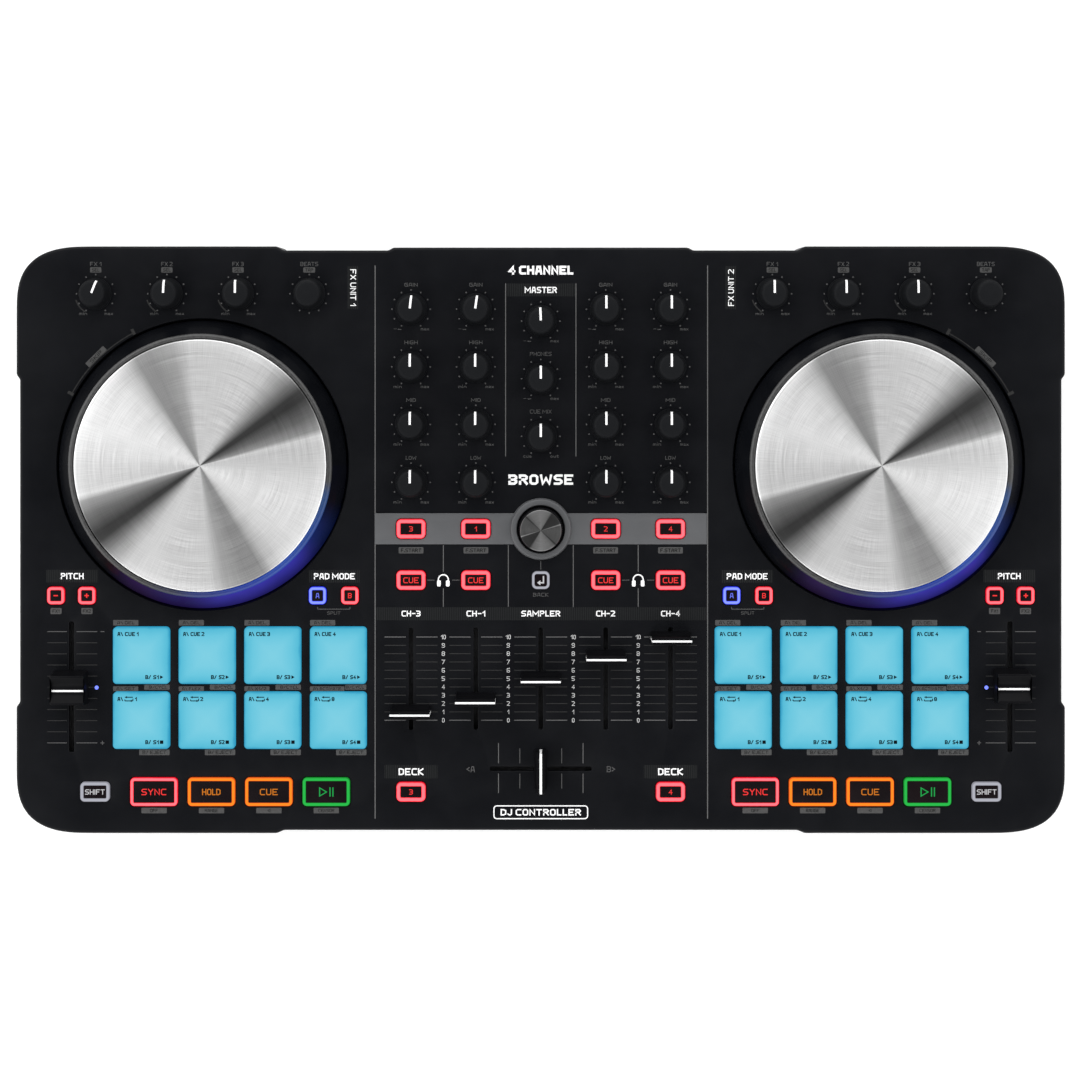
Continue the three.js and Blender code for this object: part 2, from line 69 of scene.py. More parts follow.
def travel(joint_name, node):
    """The places of a sliding cap's centre at its two limits."""
    joint = JOINTS[joint_name]
    return [spot(node) + Vector(joint["axis"]) * reach for reach in joint["range_m"]]


def rest_turn(joint_name):
    """How far clockwise a knob stands from straight ahead, in radians."""
    low, high = JOINTS[joint_name]["range_deg"]
    return math.radians(-(low + high) / 2)


def key_plans(node):
    """Rectangles (x, y, width, depth) of the keys of a mat, from the rear left to the front right."""
    bm = bmesh.new()
    bm.from_mesh(frame["nodes"][node].data)
    bmesh.ops.remove_doubles(bm, verts=bm.verts, dist=0.01 * MM)
    top = max(vert.co.z for vert in bm.verts)
    left = {vert for vert in bm.verts if vert.co.z > top - 0.1 * MM}
    plans = []
    while left:
        group, frontier = set(), [left.pop()]
        while frontier:
            vert = frontier.pop()
            group.add(vert)
            near = {edge.other_vert(vert) for edge in vert.link_edges} & left
            left -= near
            frontier.extend(near)
        xs = [vert.co.x for vert in group]
        ys = [vert.co.y for vert in group]
        middle = ((min(xs) + max(xs)) / 2, (min(ys) + max(ys)) / 2)
        plans.append((*middle, max(xs) - min(xs), max(ys) - min(ys)))
    bm.free()
    return sorted(plans, key=lambda plan: (-round(plan[1] / MM), plan[0]))


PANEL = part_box("top_cover")[1].z
PARTING_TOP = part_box("top_cover")[0].z
PARTING_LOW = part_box("bottom_case")[1].z
CASE_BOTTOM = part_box("bottom_case")[0].z
HALF_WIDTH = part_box("top_cover")[1].x
HALF_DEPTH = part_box("top_cover")[1].y
KEY_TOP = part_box("mixer_keys")[1].z
WEB_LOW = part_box("mixer_keys")[0].z
TRIM_LOW, TRIM_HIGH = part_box("browse_trim")
BEZEL_REACH = TRIM_HIGH.y  # every key of the browse strip is further than this from the middle
BROWSE = spot("browse_knob")
JOG_RADIUS = (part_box("left_jog_platter")[1].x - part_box("left_jog_platter")[0].x) / 2
DISC_RADIUS = (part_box("left_jog_disc")[1].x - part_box("left_jog_disc")[0].x) / 2
JOG_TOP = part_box("left_jog_disc")[1].z

KEY_MATS = ["mixer_keys", "deck_keys"] + [
    f"{side}_{kind}" for side, _ in SIDES
    for kind in ("pad_mat", "transport_keys", "pitch_keys", "pad_mode_keys")]
PLANS = {node: key_plans(node) for node in KEY_MATS}
POTS = ["master", "phones", "cue_mix"]
POTS += [f"{channel}_{row}" for channel in CHANNELS for row in ("gain", "high", "mid", "low")]
POTS += [f"{side}_{effect}" for side, _ in SIDES for effect in ("fx1", "fx2", "fx3")]
ENDLESS = ["left_beats", "right_beats"]
FADERS = ["ch3_fader", "ch1_fader", "sampler_fader", "ch2_fader", "ch4_fader"]
PITCHES = ["left_pitch", "right_pitch"]

# ---------- details that the frame doesn't hold ----------

SKIN = 2.5 * MM  # thickness of the panel and of the case floor
WALL = 2.6 * MM
SIDE_INSET = 1.8 * MM  # the sides step in between the corner guards
REAR_INSET = 2.1 * MM
REAR_SWELL_INSET = 0.6 * MM  # the shallow swell over the sockets
FRONT_INSET = 1.6 * MM
CORNER_REACH = (39 * MM, 33 * MM)
CORNER_POWER = 2.8
EDGE_ROUND = 1.6 * MM
PARTING_ROUND = 0.35 * MM  # chamfer of both shells at the parting line
LIP = 0.35 * MM  # rounding of every opening in the panel
KEY_CLEARANCE = 0.35 * MM
WELL_CLEARANCE = 0.8 * MM
WELL_FLOOR = PANEL - 10 * MM
SPINDLE = 4.9 * MM
SHAFT_HOLE = 3.7 * MM
PRINT_RISE = 0.04 * MM  # thickness of printing above its surface
PRINT_SINK = 0.03 * MM
PRINT_STEP = 0.005 * MM  # between the levels of strokes that cross
PRINT_LEVELS = 8
SHARP_ANGLE = math.radians(35)  # edges steeper than this are drawn sharp

# ---------- plans: closed outlines, counterclockwise, that can be grown or shrunk ----------


def in_mm(*corners):
    """Corners of a profile that are given in millimetres."""
    return [tuple(value * MM for value in corner) for corner in corners]


def arc_points(x, y, radius, start, end, steps):
    """Points on an arc between two angles in degrees."""
    angles = [math.radians(start + (end - start) * k / steps) for k in range(steps + 1)]
    return [(x + radius * math.cos(a), y + radius * math.sin(a)) for a in angles]


def round_plan(x, y, radius, steps=48):
    """A circle; its grown copies share its centre."""
    return lambda grow=0.0: arc_points(x, y, radius + grow, 0, 360, steps)[:-1]


def toothed_plan(radius, depth, teeth):
    """A circle with even teeth, as on a knurled nut or a fluted knob."""
    def plan(grow=0.0):
        angles = [math.pi * k / teeth for k in range(2 * teeth)]
        radii = [radius + grow - depth * (k % 2) for k in range(2 * teeth)]
        return [(r * math.cos(a), r * math.sin(a)) for r, a in zip(radii, angles)]
    return plan


def box_plan(x, y, width, depth, corner, steps=5):
    """A rectangle with rounded corners."""
    def plan(grow=0.0):
        radius = max(corner + grow, 0.05 * MM)
        a = width / 2 + grow - radius
        b = depth / 2 + grow - radius
        points = []
        for k, (sx, sy) in enumerate(((1, 1), (-1, 1), (-1, -1), (1, -1))):
            points += arc_points(x + sx * a, y + sy * b, radius, 90 * k, 90 * k + 90, steps)
        return points
    return plan


def free_plan(points):
    """Any outline; its grown copies move each point along its own normal."""
    def plan(grow=0.0):
        moved = []
        count = len(points)
        for k, (x, y) in enumerate(points):
            before, after = points[k - 1], points[(k + 1) % count]
            along = Vector((after[0] - before[0], after[1] - before[1])).normalized()
            moved.append((x + along.y * grow, y - along.x * grow))
        return moved
    return plan


def superellipse_corner(half_x, half_y, reach_x, reach_y, steps=26):
    """One corner of the case in the first quadrant, from the rear edge round to the side."""
    points = []
    for k in range(steps + 1):
        angle = math.pi / 2 * k / steps
        x = half_x - reach_x + reach_x * math.sin(angle) ** (2 / CORNER_POWER)
        y = half_y - reach_y + reach_y * max(math.cos(angle), 0.0) ** (2 / CORNER_POWER)
        points.append((x, y))
    return points


def step_curve(start, end, across, steps=5):
    """An S-shaped step between two points, even along one axis and smooth across the other."""
    points = []
    for k in range(steps + 1):
        t = k / steps
        smooth = t * t * (3 - 2 * t)
        even = (t, smooth) if across == "y" else (smooth, t)
        points.append(tuple(a + (b - a) * s for a, b, s in zip(start, end, even)))
    return points


def mirrored_outline(rear_quarter, front_quarter):
    """A whole outline from two quarters that run from the centre line to the side."""
    right = rear_quarter + [(x, -y) for x, y in reversed(front_quarter)]
    left = [(-x, y) for x, y in reversed(right)]
    return list(reversed(right + left))


def case_outline():
    """The outside of the case, with its four corner guards and the swell over the sockets."""
    corner = superellipse_corner(HALF_WIDTH, HALF_DEPTH, *CORNER_REACH)
    side_x = HALF_WIDTH - SIDE_INSET
    rear_y = HALF_DEPTH - REAR_INSET
    guard_in, guard_out = 133 * MM, 138 * MM
    rear = step_curve((76 * MM, HALF_DEPTH - REAR_SWELL_INSET), (80 * MM, rear_y), "y")
    rear += step_curve((guard_in, rear_y), (guard_out, HALF_DEPTH), "y") + corner
    rear += step_curve((HALF_WIDTH, 86.5 * MM), (side_x, 83 * MM), "x")
    front = step_curve((guard_in, HALF_DEPTH - FRONT_INSET), (guard_out, HALF_DEPTH), "y") + corner
    front += step_curve((HALF_WIDTH, 87.5 * MM), (side_x, 84 * MM), "x")
    return mirrored_outline(rear, front)


def cavity_outline():
    """The inside of the walls."""
    half_x = HALF_WIDTH - SIDE_INSET - WALL
    half_y = HALF_DEPTH - REAR_INSET - WALL
    corner = superellipse_corner(half_x, half_y, *(reach - WALL for reach in CORNER_REACH))
    return mirrored_outline(corner, corner)


def trim_outline():
    """The browse strip with the round bezel in its middle."""
    radius = TRIM_HIGH.y - BROWSE.y
    strip_high, strip_low = 13.9 * MM, -2.3 * MM
    half_x = TRIM_HIGH.x
    high = math.degrees(math.asin((strip_high - BROWSE.y) / radius))
    low = math.degrees(math.asin((strip_low - BROWSE.y) / radius))
    points = [(half_x, strip_low), (half_x, strip_high)]
    points += arc_points(BROWSE.x, BROWSE.y, radius, high, 180 - high, 28)
    points += [(-half_x, strip_high), (-half_x, strip_low)]
    points += arc_points(BROWSE.x, BROWSE.y, radius, 180 - low, 360 + low, 28)
    return points


def edge_round(radius, steps=4):
    """(inset, drop) pairs of a quarter-round edge, from the flat top to the wall."""
    angles = [math.pi / 2 * k / steps for k in range(steps + 1)]
    return [(radius * (1 - math.sin(a)), radius * (1 - math.cos(a))) for a in angles]


def softened(corners, steps=4):
    """A profile of (r, z) or (r, z, rounding) corners with each rounding drawn as a curve."""
    flat = [tuple(corner[:2]) for corner in corners]
    points = []
    for k, corner in enumerate(corners):
        here = Vector(flat[k])
        rounding = corner[2] if len(corner) > 2 else 0
        if not rounding or k in (0, len(corners) - 1):
            points.append(flat[k])
            continue
        back, ahead = Vector(flat[k - 1]) - here, Vector(flat[k + 1]) - here
        reach = min(rounding, 0.48 * back.length, 0.48 * ahead.length)
        start, end = here + back.normalized() * reach, here + ahead.normalized() * reach
        for s in (j / steps for j in range(steps + 1)):
            points.append(tuple(start * (1 - s) ** 2 + here * 2 * s * (1 - s) + end * s * s))
    return points


# ---------- mesh building ----------


class Skin:
    """Builds closed bodies from loops of points joined by walls and closed by flat caps."""

    def __init__(self, place=None):
        self.bm = bmesh.new()
        self.place = place or Matrix.Identity(4)
        self.value = self.bm.verts.layers.float.new("glow")

    def loop(self, points, z, glow=0.0):
        verts = [self.bm.verts.new(self.place @ Vector((x, y, z))) for x, y in points]
        for vert in verts:
            vert[self.value] = glow
        return verts

    def wall(self, first, second, smooth=True):
        count = len(first)
        for k in range(count):
            after = (k + 1) % count
            face = self.bm.faces.new((first[k], first[after], second[after], second[k]))
            face.smooth = smooth

    def walls(self, loops):
        for first, second in zip(loops, loops[1:]):
            self.wall(first, second)

    def face(self, loop):
        self.bm.faces.new(loop).smooth = False

    def fan(self, tip, loop):
        for k, vert in enumerate(loop):
            self.bm.faces.new((tip, vert, loop[(k + 1) % len(loop)])).smooth = True

    def cap(self, outer, holes):
        """A flat face with holes in it."""
        edges = []
        for loop in [outer, *holes]:
            pairs = zip(loop, loop[1:] + loop[:1])
            for pair in pairs:
                edges.append(self.bm.edges.get(pair) or self.bm.edges.new(pair))
        made = bmesh.ops.triangle_fill(self.bm, use_beauty=True, use_dissolve=False, edges=edges)
        for item in made["geom"]:
            if isinstance(item, bmesh.types.BMFace):
                item.smooth = False

    def closed(self, loops):
        """Walls through loops, closed by a flat face at both ends."""
        self.walls(loops)
        self.face(loops[0])
        self.face(loops[-1])

    def stack(self, plan, steps):
        """Loops of one plan at (growth, height) steps."""
        return [self.loop(plan(grow), z) for grow, z in steps]

    def block(self, plan, low, high, rounding=0.0, base_rounding=0.0):
        """A solid block on a plan, rounded at its top edge and, if asked, at its foot."""
        top = edge_round(rounding) if rounding else [(0, 0)]
        foot = edge_round(base_rounding, 3) if base_rounding else [(0, 0)]
        steps = [(-inset, high - drop) for inset, drop in top]
        steps += [(-inset, low + rise) for inset, rise in reversed(foot)]
        self.closed(self.stack(plan, steps))

    def turned(self, profile, steps=48):
        """A solid turned about the local Z axis; a profile that leaves the axis is a ring."""
        rings = []
        for radius, z in profile:
            points = [(0, 0)] if radius < 1e-7 else round_plan(0, 0, radius, steps)()
            rings.append(self.loop(points, z))
        if len(rings[0]) > 1:
            rings.append(rings[0])
        for first, second in zip(rings, rings[1:]):
            if len(first) == 1 and len(second) == 1:
                continue
            if len(first) == 1:
                self.fan(first[0], second)
            elif len(second) == 1:
                self.fan(second[0], first)
            else:
                self.wall(first, second)

    def ribbon(self, samples, across, thickness):
        """A closed strip along (point, normal, half width) samples."""
        rows = []
        for point, normal, half in samples:
            side, lift = Vector(across) * half, Vector(normal) * thickness
            corners = (point - side + lift, point + side + lift, point + side - lift, point - side - lift)
            rows.append([self.bm.verts.new(self.place @ corner) for corner in corners])
        self.closed(rows)

    def mesh(self, name):
        bmesh.ops.recalc_face_normals(self.bm, faces=self.bm.faces)
        mesh = bpy.data.meshes.new(name)
        self.bm.to_mesh(mesh)
        self.bm.free()
        mesh.set_sharp_from_angle(angle=SHARP_ANGLE)
        return mesh

    def piece(self, name, material, body, slot, replaces=(), origin=(0, 0, 0)):
        """Puts the finished body in the scene as one piece."""
        return piece(name, self.mesh(name), material, body, slot, replaces, origin)


def piece(name, mesh, material, body, slot, replaces=(), origin=(0, 0, 0), turn=0.0):
    """Puts a mesh in the scene as a named piece that rides on a body."""
    item = bpy.data.objects.new(name, mesh)
    if not mesh.materials:
        mesh.materials.append(material)
    item.location = origin
    item.rotation_euler = (0, 0, turn)
    scene.collection.objects.link(item)
    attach(item, body)
    if replaces:
        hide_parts(*replaces)
    return item


def directions(points):
    """The direction of travel at each point of an open line."""
    for k in range(len(points)):
        before, after = points[max(k - 1, 0)], points[min(k + 1, len(points) - 1)]
        yield Vector((after[0] - before[0], after[1] - before[1])).normalized()


def facing(x, y, z, front):
    """The place of a part whose local Z points to the rear (front False) or to the front."""
    turn = Matrix.Rotation(math.radians(90 if front else -90), 4, "X")
    return Matrix.Translation((x, y, z)) @ turn


# ---------- printing and lettering ----------

# Letters drawn as pen strokes on a grid six units high: each pair of digits is a point, strokes
# are parted by commas, and a stroke that ends in "c" is closed.
GLYPHS = {
    "A": "00 16 36 40,12 32", "B": "00 06 36 45 44 33 03,33 42 41 30 00", "C": "46 16 05 01 10 40",
    "D": "00 06 26 45 41 20 c", "E": "46 06 00 40,03 33", "F": "46 06 00,03 33",
    "G": "46 16 05 01 10 40 43 23", "H": "00 06,40 46,03 43", "I": "00 06", "J": "36 31 20 10 01",
    "K": "00 06,46 03 40", "L": "06 00 30", "M": "00 06 32 66 60", "N": "00 06 40 46",
    "O": "10 01 05 16 36 45 41 30 c", "P": "00 06 36 45 44 33 03", "R": "00 06 36 45 44 33 03,23 40",
    "S": "46 16 05 04 13 33 42 41 30 00", "T": "06 46,26 20", "U": "06 01 10 30 41 46", "V": "06 20 46",
    "W": "06 10 34 50 66", "X": "00 46,06 40", "Y": "06 23 46,23 20",
    "0": "10 01 05 16 26 35 31 20 c", "1": "04 26 20", "2": "06 36 45 44 00 40",
    "3": "06 36 45 44 33 42 41 30 00,13 33", "4": "30 36 02 42", "5": "46 06 03 33 42 41 30 00",
    "6": "46 16 05 01 10 30 41 42 33 03", "7": "06 46 10", "9": "00 30 41 45 36 16 05 04 13 43",
    "8": "13 04 05 16 36 45 44 33 42 41 30 10 01 02 c,13 33", "-": "03 33", ".": "00 01",
    "/": "00 36", "\\": "06 30", "<": "35 03 31", ">": "05 33 01", "|": "00 06",
    "a": "04 24 33 30 10 01 02 32", "c": "34 14 03 01 10 30", "e": "02 32 33 24 14 03 01 10 30",
    "i": "00 04,06 07", "m": "00 04 34 43 40,24 20", "n": "00 04 24 33 30", "o": "10 01 03 14 24 33 31 20 c",
    "t": "16 11 20 30,04 34", "u": "04 01 10 30,34 30", "x": "00 34,04 30",
    "~": "02 13 22 11 c,22 33 42 31 c"}
GRID = 6
LETTER_GAP = 1.0
WORD_GAP = 2.2
WEIGHT = 0.125  # width of a stroke over the height of a capital
MITRE_LIMIT = 0.55


def strokes(glyph):
    """The strokes of a letter as (points, closed)."""
    for stroke in glyph.split(","):
        words = stroke.split()
        closed = words[-1] == "c"
        yield [Vector((int(word[0]), int(word[1]))) for word in words[:len(words) - closed]], closed


def widened(points, width, closed):
    """The two edges of a stroke along a line of points, with mitred corners and square ends."""
    left, right = [], []
    count = len(points)
    for k, here in enumerate(points):
        back = (here - points[k - 1]).normalized() if closed or k else None
        ahead = (points[(k + 1) % count] - here).normalized() if closed or k < count - 1 else None
        along = ((back or ahead) + (ahead or back)).normalized()
        side = Vector((-along.y, along.x))
        straight = ahead or back
        reach = width / 2 / max(side.dot(Vector((-straight.y, straight.x))), MITRE_LIMIT)
        tail = Vector((0, 0))
        if back is None or ahead is None:
            tail = along * width / 2 * (-1 if back is None else 1)
        left.append(here + tail + side * reach)
        right.append(here + tail - side * reach)
    return left, right


class Print:
    """Collects thin closed solids of one ink on one level. Its plates, lines, dots, arcs and text
    are given in millimetres, and its shapes and bands in metres."""

    def __init__(self, level, rise=PRINT_RISE):
        self.skin = Skin()
        self.low, self.top, self.count = level - PRINT_SINK, level + rise, 0

    def height(self):
        """The level of the next shape, so that shapes that cross never share a face."""
        self.count += 1
        return self.top + self.count % PRINT_LEVELS * PRINT_STEP

    def shape(self, points):
        """A filled outline."""
        top, foot = self.skin.loop(points, self.height()), self.skin.loop(points, self.low)
        self.skin.wall(top, foot, smooth=False)
        self.skin.face(top)
        self.skin.face(foot)

    def band(self, outer, inner):
        """The strip between two outlines with the same number of points."""
        high = self.height()
        rows = [(outer, high), (inner, high), (inner, self.low), (outer, self.low)]
        loops = [self.skin.loop(points, z) for points, z in rows]
        for first, second in zip(loops, loops[1:] + loops[:1]):
            self.skin.wall(first, second, smooth=False)

    def plate(self, x, y, width, depth, corner=0.4, turn=0.0):
        cos, sin = math.cos(math.radians(turn)), math.sin(math.radians(turn))
        points = box_plan(0, 0, width * MM, depth * MM, corner * MM, 3)()
        self.shape([(x * MM + px * cos - py * sin, y * MM + px * sin + py * cos) for px, py in points])

    def line(self, x0, y0, x1, y1, width):
        along = Vector((x1 - x0, y1 - y0)).normalized()
        sx, sy = -along.y * width / 2, along.x * width / 2
        self.shape(in_mm((x0 + sx, y0 + sy), (x0 - sx, y0 - sy), (x1 - sx, y1 - sy), (x1 + sx, y1 + sy)))

    def dot(self, x, y, radius):
        self.shape(round_plan(x * MM, y * MM, radius * MM, 12)())

    def arc(self, x, y, radius, start, end, width, steps=20):
        outer = arc_points(x, y, radius + width / 2, start, end, steps)
        inner = arc_points(x, y, radius - width / 2, end, start, steps)
        self.shape(in_mm(*outer, *inner))

    def text(self, words, x, y, height, width=None, turn=0.0, bold=0.0):
        """A line of text centred on a point, with its cap height and, if given, its width."""
        weight = GRID * (WEIGHT + bold)
        unit = (1 - weight / GRID) / GRID * height * MM
        gap = weight + LETTER_GAP
        placed, pen = [], 0.0
        for letter in words:
            if letter == " ":
                pen += WORD_GAP
                continue
            drawn = list(strokes(GLYPHS[letter]))
            placed += [([point + Vector((pen, 0)) for point in points], closed) for points, closed in drawn]
            pen += max(point.x for points, _ in drawn for point in points) + gap
        length = (pen - gap + weight / (1 - weight / GRID)) * unit
        stretch = width * MM / length if width else 1.0
        middle = (pen - gap) / 2
        along = Vector((math.cos(math.radians(turn)), math.sin(math.radians(turn)))) * unit
        up = Vector((-along.y, along.x))
        origin = Vector((x, y)) * MM
        for points, closed in placed:
            flat = [Vector(((point.x - middle) * stretch, point.y - GRID / 2)) for point in points]
            edges = widened(flat, weight / (1 - weight / GRID), closed)
            left, right = ([tuple(origin + along * p.x + up * p.y) for p in edge] for edge in edges)
            if closed:
                self.band(right, left)
            else:
                self.shape(right + left[::-1])

    def piece(self, name, material, body, slot):
        return self.skin.piece(name, material, body, slot)


# ---------- material building ----------


def ink(red, green, blue):
    """A display colour (0 to 255) as a linear one."""
    def linear(value):
        value /= 255
        return value / 12.92 if value <= 0.04045 else ((value + 0.055) / 1.055) ** 2.4
    return (linear(red), linear(green), linear(blue), 1.0)


def grey(level):
    return ink(level, level, level)


class Finish:
    """A Principled material and the nodes that feed it."""

    def __init__(self, name, **shader):
        self.material = bpy.data.materials.new(name)
        self.material.use_nodes = True
        self.tree = self.material.node_tree
        self.shader = self.tree.nodes["Principled BSDF"]
        for socket, value in shader.items():
            self.shader.inputs[socket.replace("_", " ")].default_value = value

    def node(self, kind, inputs=None, **settings):
        made = self.tree.nodes.new(f"ShaderNode{kind}")
        for name, value in settings.items():
            setattr(made, name, value)
        for key, value in (inputs or {}).items():
            self.feed(made.inputs[key], value)
        return made

    def feed(self, socket, value):
        if isinstance(value, bpy.types.NodeSocket):
            self.tree.links.new(value, socket)
        else:
            socket.default_value = value

    def set(self, name, value):
        self.feed(self.shader.inputs[name], value)

    def maths(self, operation, a, b=0.0, c=0.0):
        return self.node("Math", {0: a, 1: b, 2: c}, operation=operation).outputs[0]

    def place(self):
        return self.node("TexCoord").outputs["Object"]

    def noise(self, scale, detail=3.0, roughness=0.5, at=None):
        inputs = {"Vector": at or self.place(), "Scale": scale, "Detail": detail, "Roughness": roughness}
        return self.node("TexNoise", inputs).outputs["Fac"]

    def span(self, value, low, high, start=0.3, end=0.7):
        """A value from start to end mapped to low to high."""
        inputs = {"Value": value, "From Min": start, "From Max": end, "To Min": low, "To Max": high}
        return self.node("MapRange", inputs).outputs[0]

    def mix(self, share, first, second):
        inputs = {"Factor": share, "A": first, "B": second}
        made = self.node("Mix", data_type="RGBA")
        for name, value in inputs.items():
            kind = "VALUE" if name == "Factor" else "RGBA"
            socket = next(s for s in made.inputs if s.name == name and s.type == kind)
            self.feed(socket, value)
        return next(s for s in made.outputs if s.type == "RGBA")

    def ramp(self, value, stops, interpolation="LINEAR"):
        """A colour ramp through (place, colour) stops."""
        made = self.node("ValToRGB", {"Fac": value})
        elements = made.color_ramp.elements
        made.color_ramp.interpolation = interpolation
        while len(elements) < len(stops):
            elements.new(0.5)
        for element, (where, _) in zip(elements, stops):
            element.position = where
        for element, (_, colour) in zip(elements, stops):
            element.color = colour
        return made.outputs["Color"]

    def bump(self, height, distance, strength=1.0):
        made = self.node("Bump", {"Height": height, "Distance": distance, "Strength": strength})
        self.set("Normal", made.outputs["Normal"])

    def polar(self):
        """Distance from the local Z axis, and the angle round it from 0 to 1."""
        x, y, _ = self.node("SeparateXYZ", {0: self.place()}).outputs
        square = self.maths("ADD", self.maths("MULTIPLY", x, x), self.maths("MULTIPLY", y, y))
        turn = self.maths("ARCTAN2", y, x)
        return self.maths("SQRT", square), self.maths("FRACT", self.maths("DIVIDE", turn, 2 * math.pi))

    def product(self, first, second):
        """Two vectors multiplied axis by axis."""
        return self.node("VectorMath", {0: first, 1: second}, operation="MULTIPLY").outputs[0]

    def spread(self, value):
        """A vector with one value on all three axes."""
        return self.node("CombineXYZ", {0: value, 1: value, 2: value}).outputs[0]

    def emit(self, colour, strength=1.0):
        self.set("Emission Color", colour)
        self.set("Emission Strength", strength)

    def glow(self):
        """The value that the mesh carries from the middle of a lit part to its edges."""
        return self.node("Attribute", attribute_name="glow").outputs["Fac"]


def moulded(name, colour, shade, roughness, grain=5200, depth=0.012, **shader):
    """Moulded plastic or rubber: fine grain, faint mottling and softly uneven gloss."""
    finish = Finish(name, **shader)
    mottling = finish.noise(60, 4)
    finish.set("Base Color", finish.mix(finish.span(mottling, 0, 1), colour, shade))
    smudges = finish.noise(24, 5, 0.6)
    finish.set("Roughness", finish.span(smudges, roughness - 0.05, roughness + 0.07))
    finish.bump(finish.noise(grain, 2, 0.6), depth * MM, 0.6)
    return finish.material


def printed(name, colour, shade):
    """Screen-printed ink with a slightly uneven film."""
    finish = Finish(name, Specular_IOR_Level=0.06)
    film = finish.noise(900, 3)
    finish.set("Base Color", finish.mix(finish.span(film, 0, 1), colour, shade))
    finish.set("Roughness", finish.span(film, 0.45, 0.6))
    finish.bump(film, 0.004 * MM, 0.4)
    return finish.material


def lit(name, core, edge, strength):
    """A lit light guide: its colour runs from a bright core to deep edges, faintly uneven."""
    finish = Finish(name, Base_Color=(0.01, 0.01, 0.01, 1), Roughness=0.4, Specular_IOR_Level=0.06)
    share = finish.maths("ADD", finish.glow(), finish.span(finish.noise(700, 2), -0.06, 0.06))
    finish.emit(finish.ramp(share, [(0, core), (0.45, core), (1, edge)], "EASE"), strength)
    finish.bump(finish.noise(2500, 2), 0.005 * MM, 0.4)
    return finish.material


def metal(name, colour, shade, roughness):
    """Plated or machined metal with fine tool marks."""
    finish = Finish(name, Metallic=1.0)
    marks = finish.noise(1800, 3, 0.6)
    finish.set("Base Color", finish.mix(finish.span(marks, 0, 1), colour, shade))
    finish.set("Roughness", finish.span(marks, roughness - 0.05, roughness + 0.08))
    finish.bump(marks, 0.004 * MM, 0.3)
    return finish.material


# ---------- finishes ----------

WHITE_INK = grey(228)
PANEL_BLACK = moulded(
    "satin_black_plastic", ink(9, 10, 13), ink(13, 14, 17), 0.36, Specular_IOR_Level=0.1)
BASE_BLACK = moulded(
    "base_plastic", ink(11, 12, 14), ink(16, 17, 19), 0.55, grain=3000, depth=0.03, Specular_IOR_Level=0.14)
RUBBER = moulded("foot_rubber", ink(14, 14, 14), ink(24, 24, 24), 0.82, grain=2400, depth=0.03)
TRIM_GREY = moulded(
    "satin_grey_trim", ink(72, 73, 75), ink(78, 79, 81), 0.44, depth=0.006, Specular_IOR_Level=0.35)
SOFT_TOUCH = moulded(
    "soft_touch_plastic", ink(14, 15, 17), ink(19, 20, 22), 0.56, depth=0.008, Specular_IOR_Level=0.06)
CAP_BLACK = moulded("cap_plastic", ink(8, 8, 10), ink(13, 13, 15), 0.34, Specular_IOR_Level=0.05)
SMOKED = moulded("smoked_key_window", ink(13, 9, 11), ink(20, 14, 16), 0.26, depth=0.004,
                 Specular_IOR_Level=0.12)
SILICONE = moulded("key_silicone", ink(46, 47, 50), ink(58, 59, 62), 0.7, depth=0.01)
SOCKET_BLACK = moulded("socket_plastic", ink(16, 16, 18), ink(24, 24, 26), 0.5)
CHROME = metal("plated_steel", grey(205), grey(228), 0.16)
BRASS = metal("gold_plated_contact", ink(206, 172, 98), ink(226, 194, 122), 0.2)
ZINC = metal("zinc_screw", grey(96), grey(120), 0.35)
WHITE_PLASTIC = moulded("white_insert", grey(196), grey(212), 0.4, depth=0.004)
RED_PLASTIC = moulded("red_insert", ink(150, 20, 18), ink(172, 26, 22), 0.4, depth=0.004)

WHITE_PRINT = printed("white_print", grey(222), WHITE_INK)
SILVER_PRINT = printed("silver_print", grey(178), grey(188))
PALE_PRINT = printed("pale_grey_print", grey(82), grey(90))
GREY_PRINT = printed("grey_print", grey(70), grey(78))
DIM_PRINT = printed("dim_grey_print", grey(40), grey(46))
PLATE_PRINT = printed("plate_print", grey(62), grey(70))
DARK_PRINT = printed("dark_print", grey(8), grey(12))
TEAL_PRINT = printed("dark_teal_print", ink(2, 10, 15), ink(3, 12, 18))

RED_LIGHT = lit("red_light", (1.0, 0.085, 0.105, 1), (0.34, 0.0, 0.008, 1), 2.4)
ORANGE_LIGHT = lit("orange_light", (1.0, 0.2, 0.0, 1), (0.55, 0.07, 0.0, 1), 1.35)
GREEN_LIGHT = lit("green_light", (0.004, 0.5, 0.055, 1), (0.0, 0.26, 0.02, 1), 1.0)
BLUE_LIGHT = lit("blue_light", (0.15, 0.2, 1.0, 1), (0.008, 0.015, 0.42, 1), 1.8)
PALE_LIGHT = lit("white_light", (0.43, 0.44, 0.5, 1), (0.26, 0.26, 0.3, 1), 1.0)
RED_MARK = lit("red_mark", *[(1.0, 0.03, 0.03, 1)] * 2, 1.0)
ORANGE_MARK = lit("orange_mark", *[(0.62, 0.17, 0.0, 1)] * 2, 1.0)
GREEN_MARK = lit("green_mark", *[(0.0, 0.36, 0.06, 1)] * 2, 1.0)
BLUE_MARK = lit("blue_mark", *[(0.13, 0.17, 0.9, 1)] * 2, 1.0)
PALE_MARK = lit("white_mark", *[(0.6, 0.6, 0.62, 1)] * 2, 1.0)


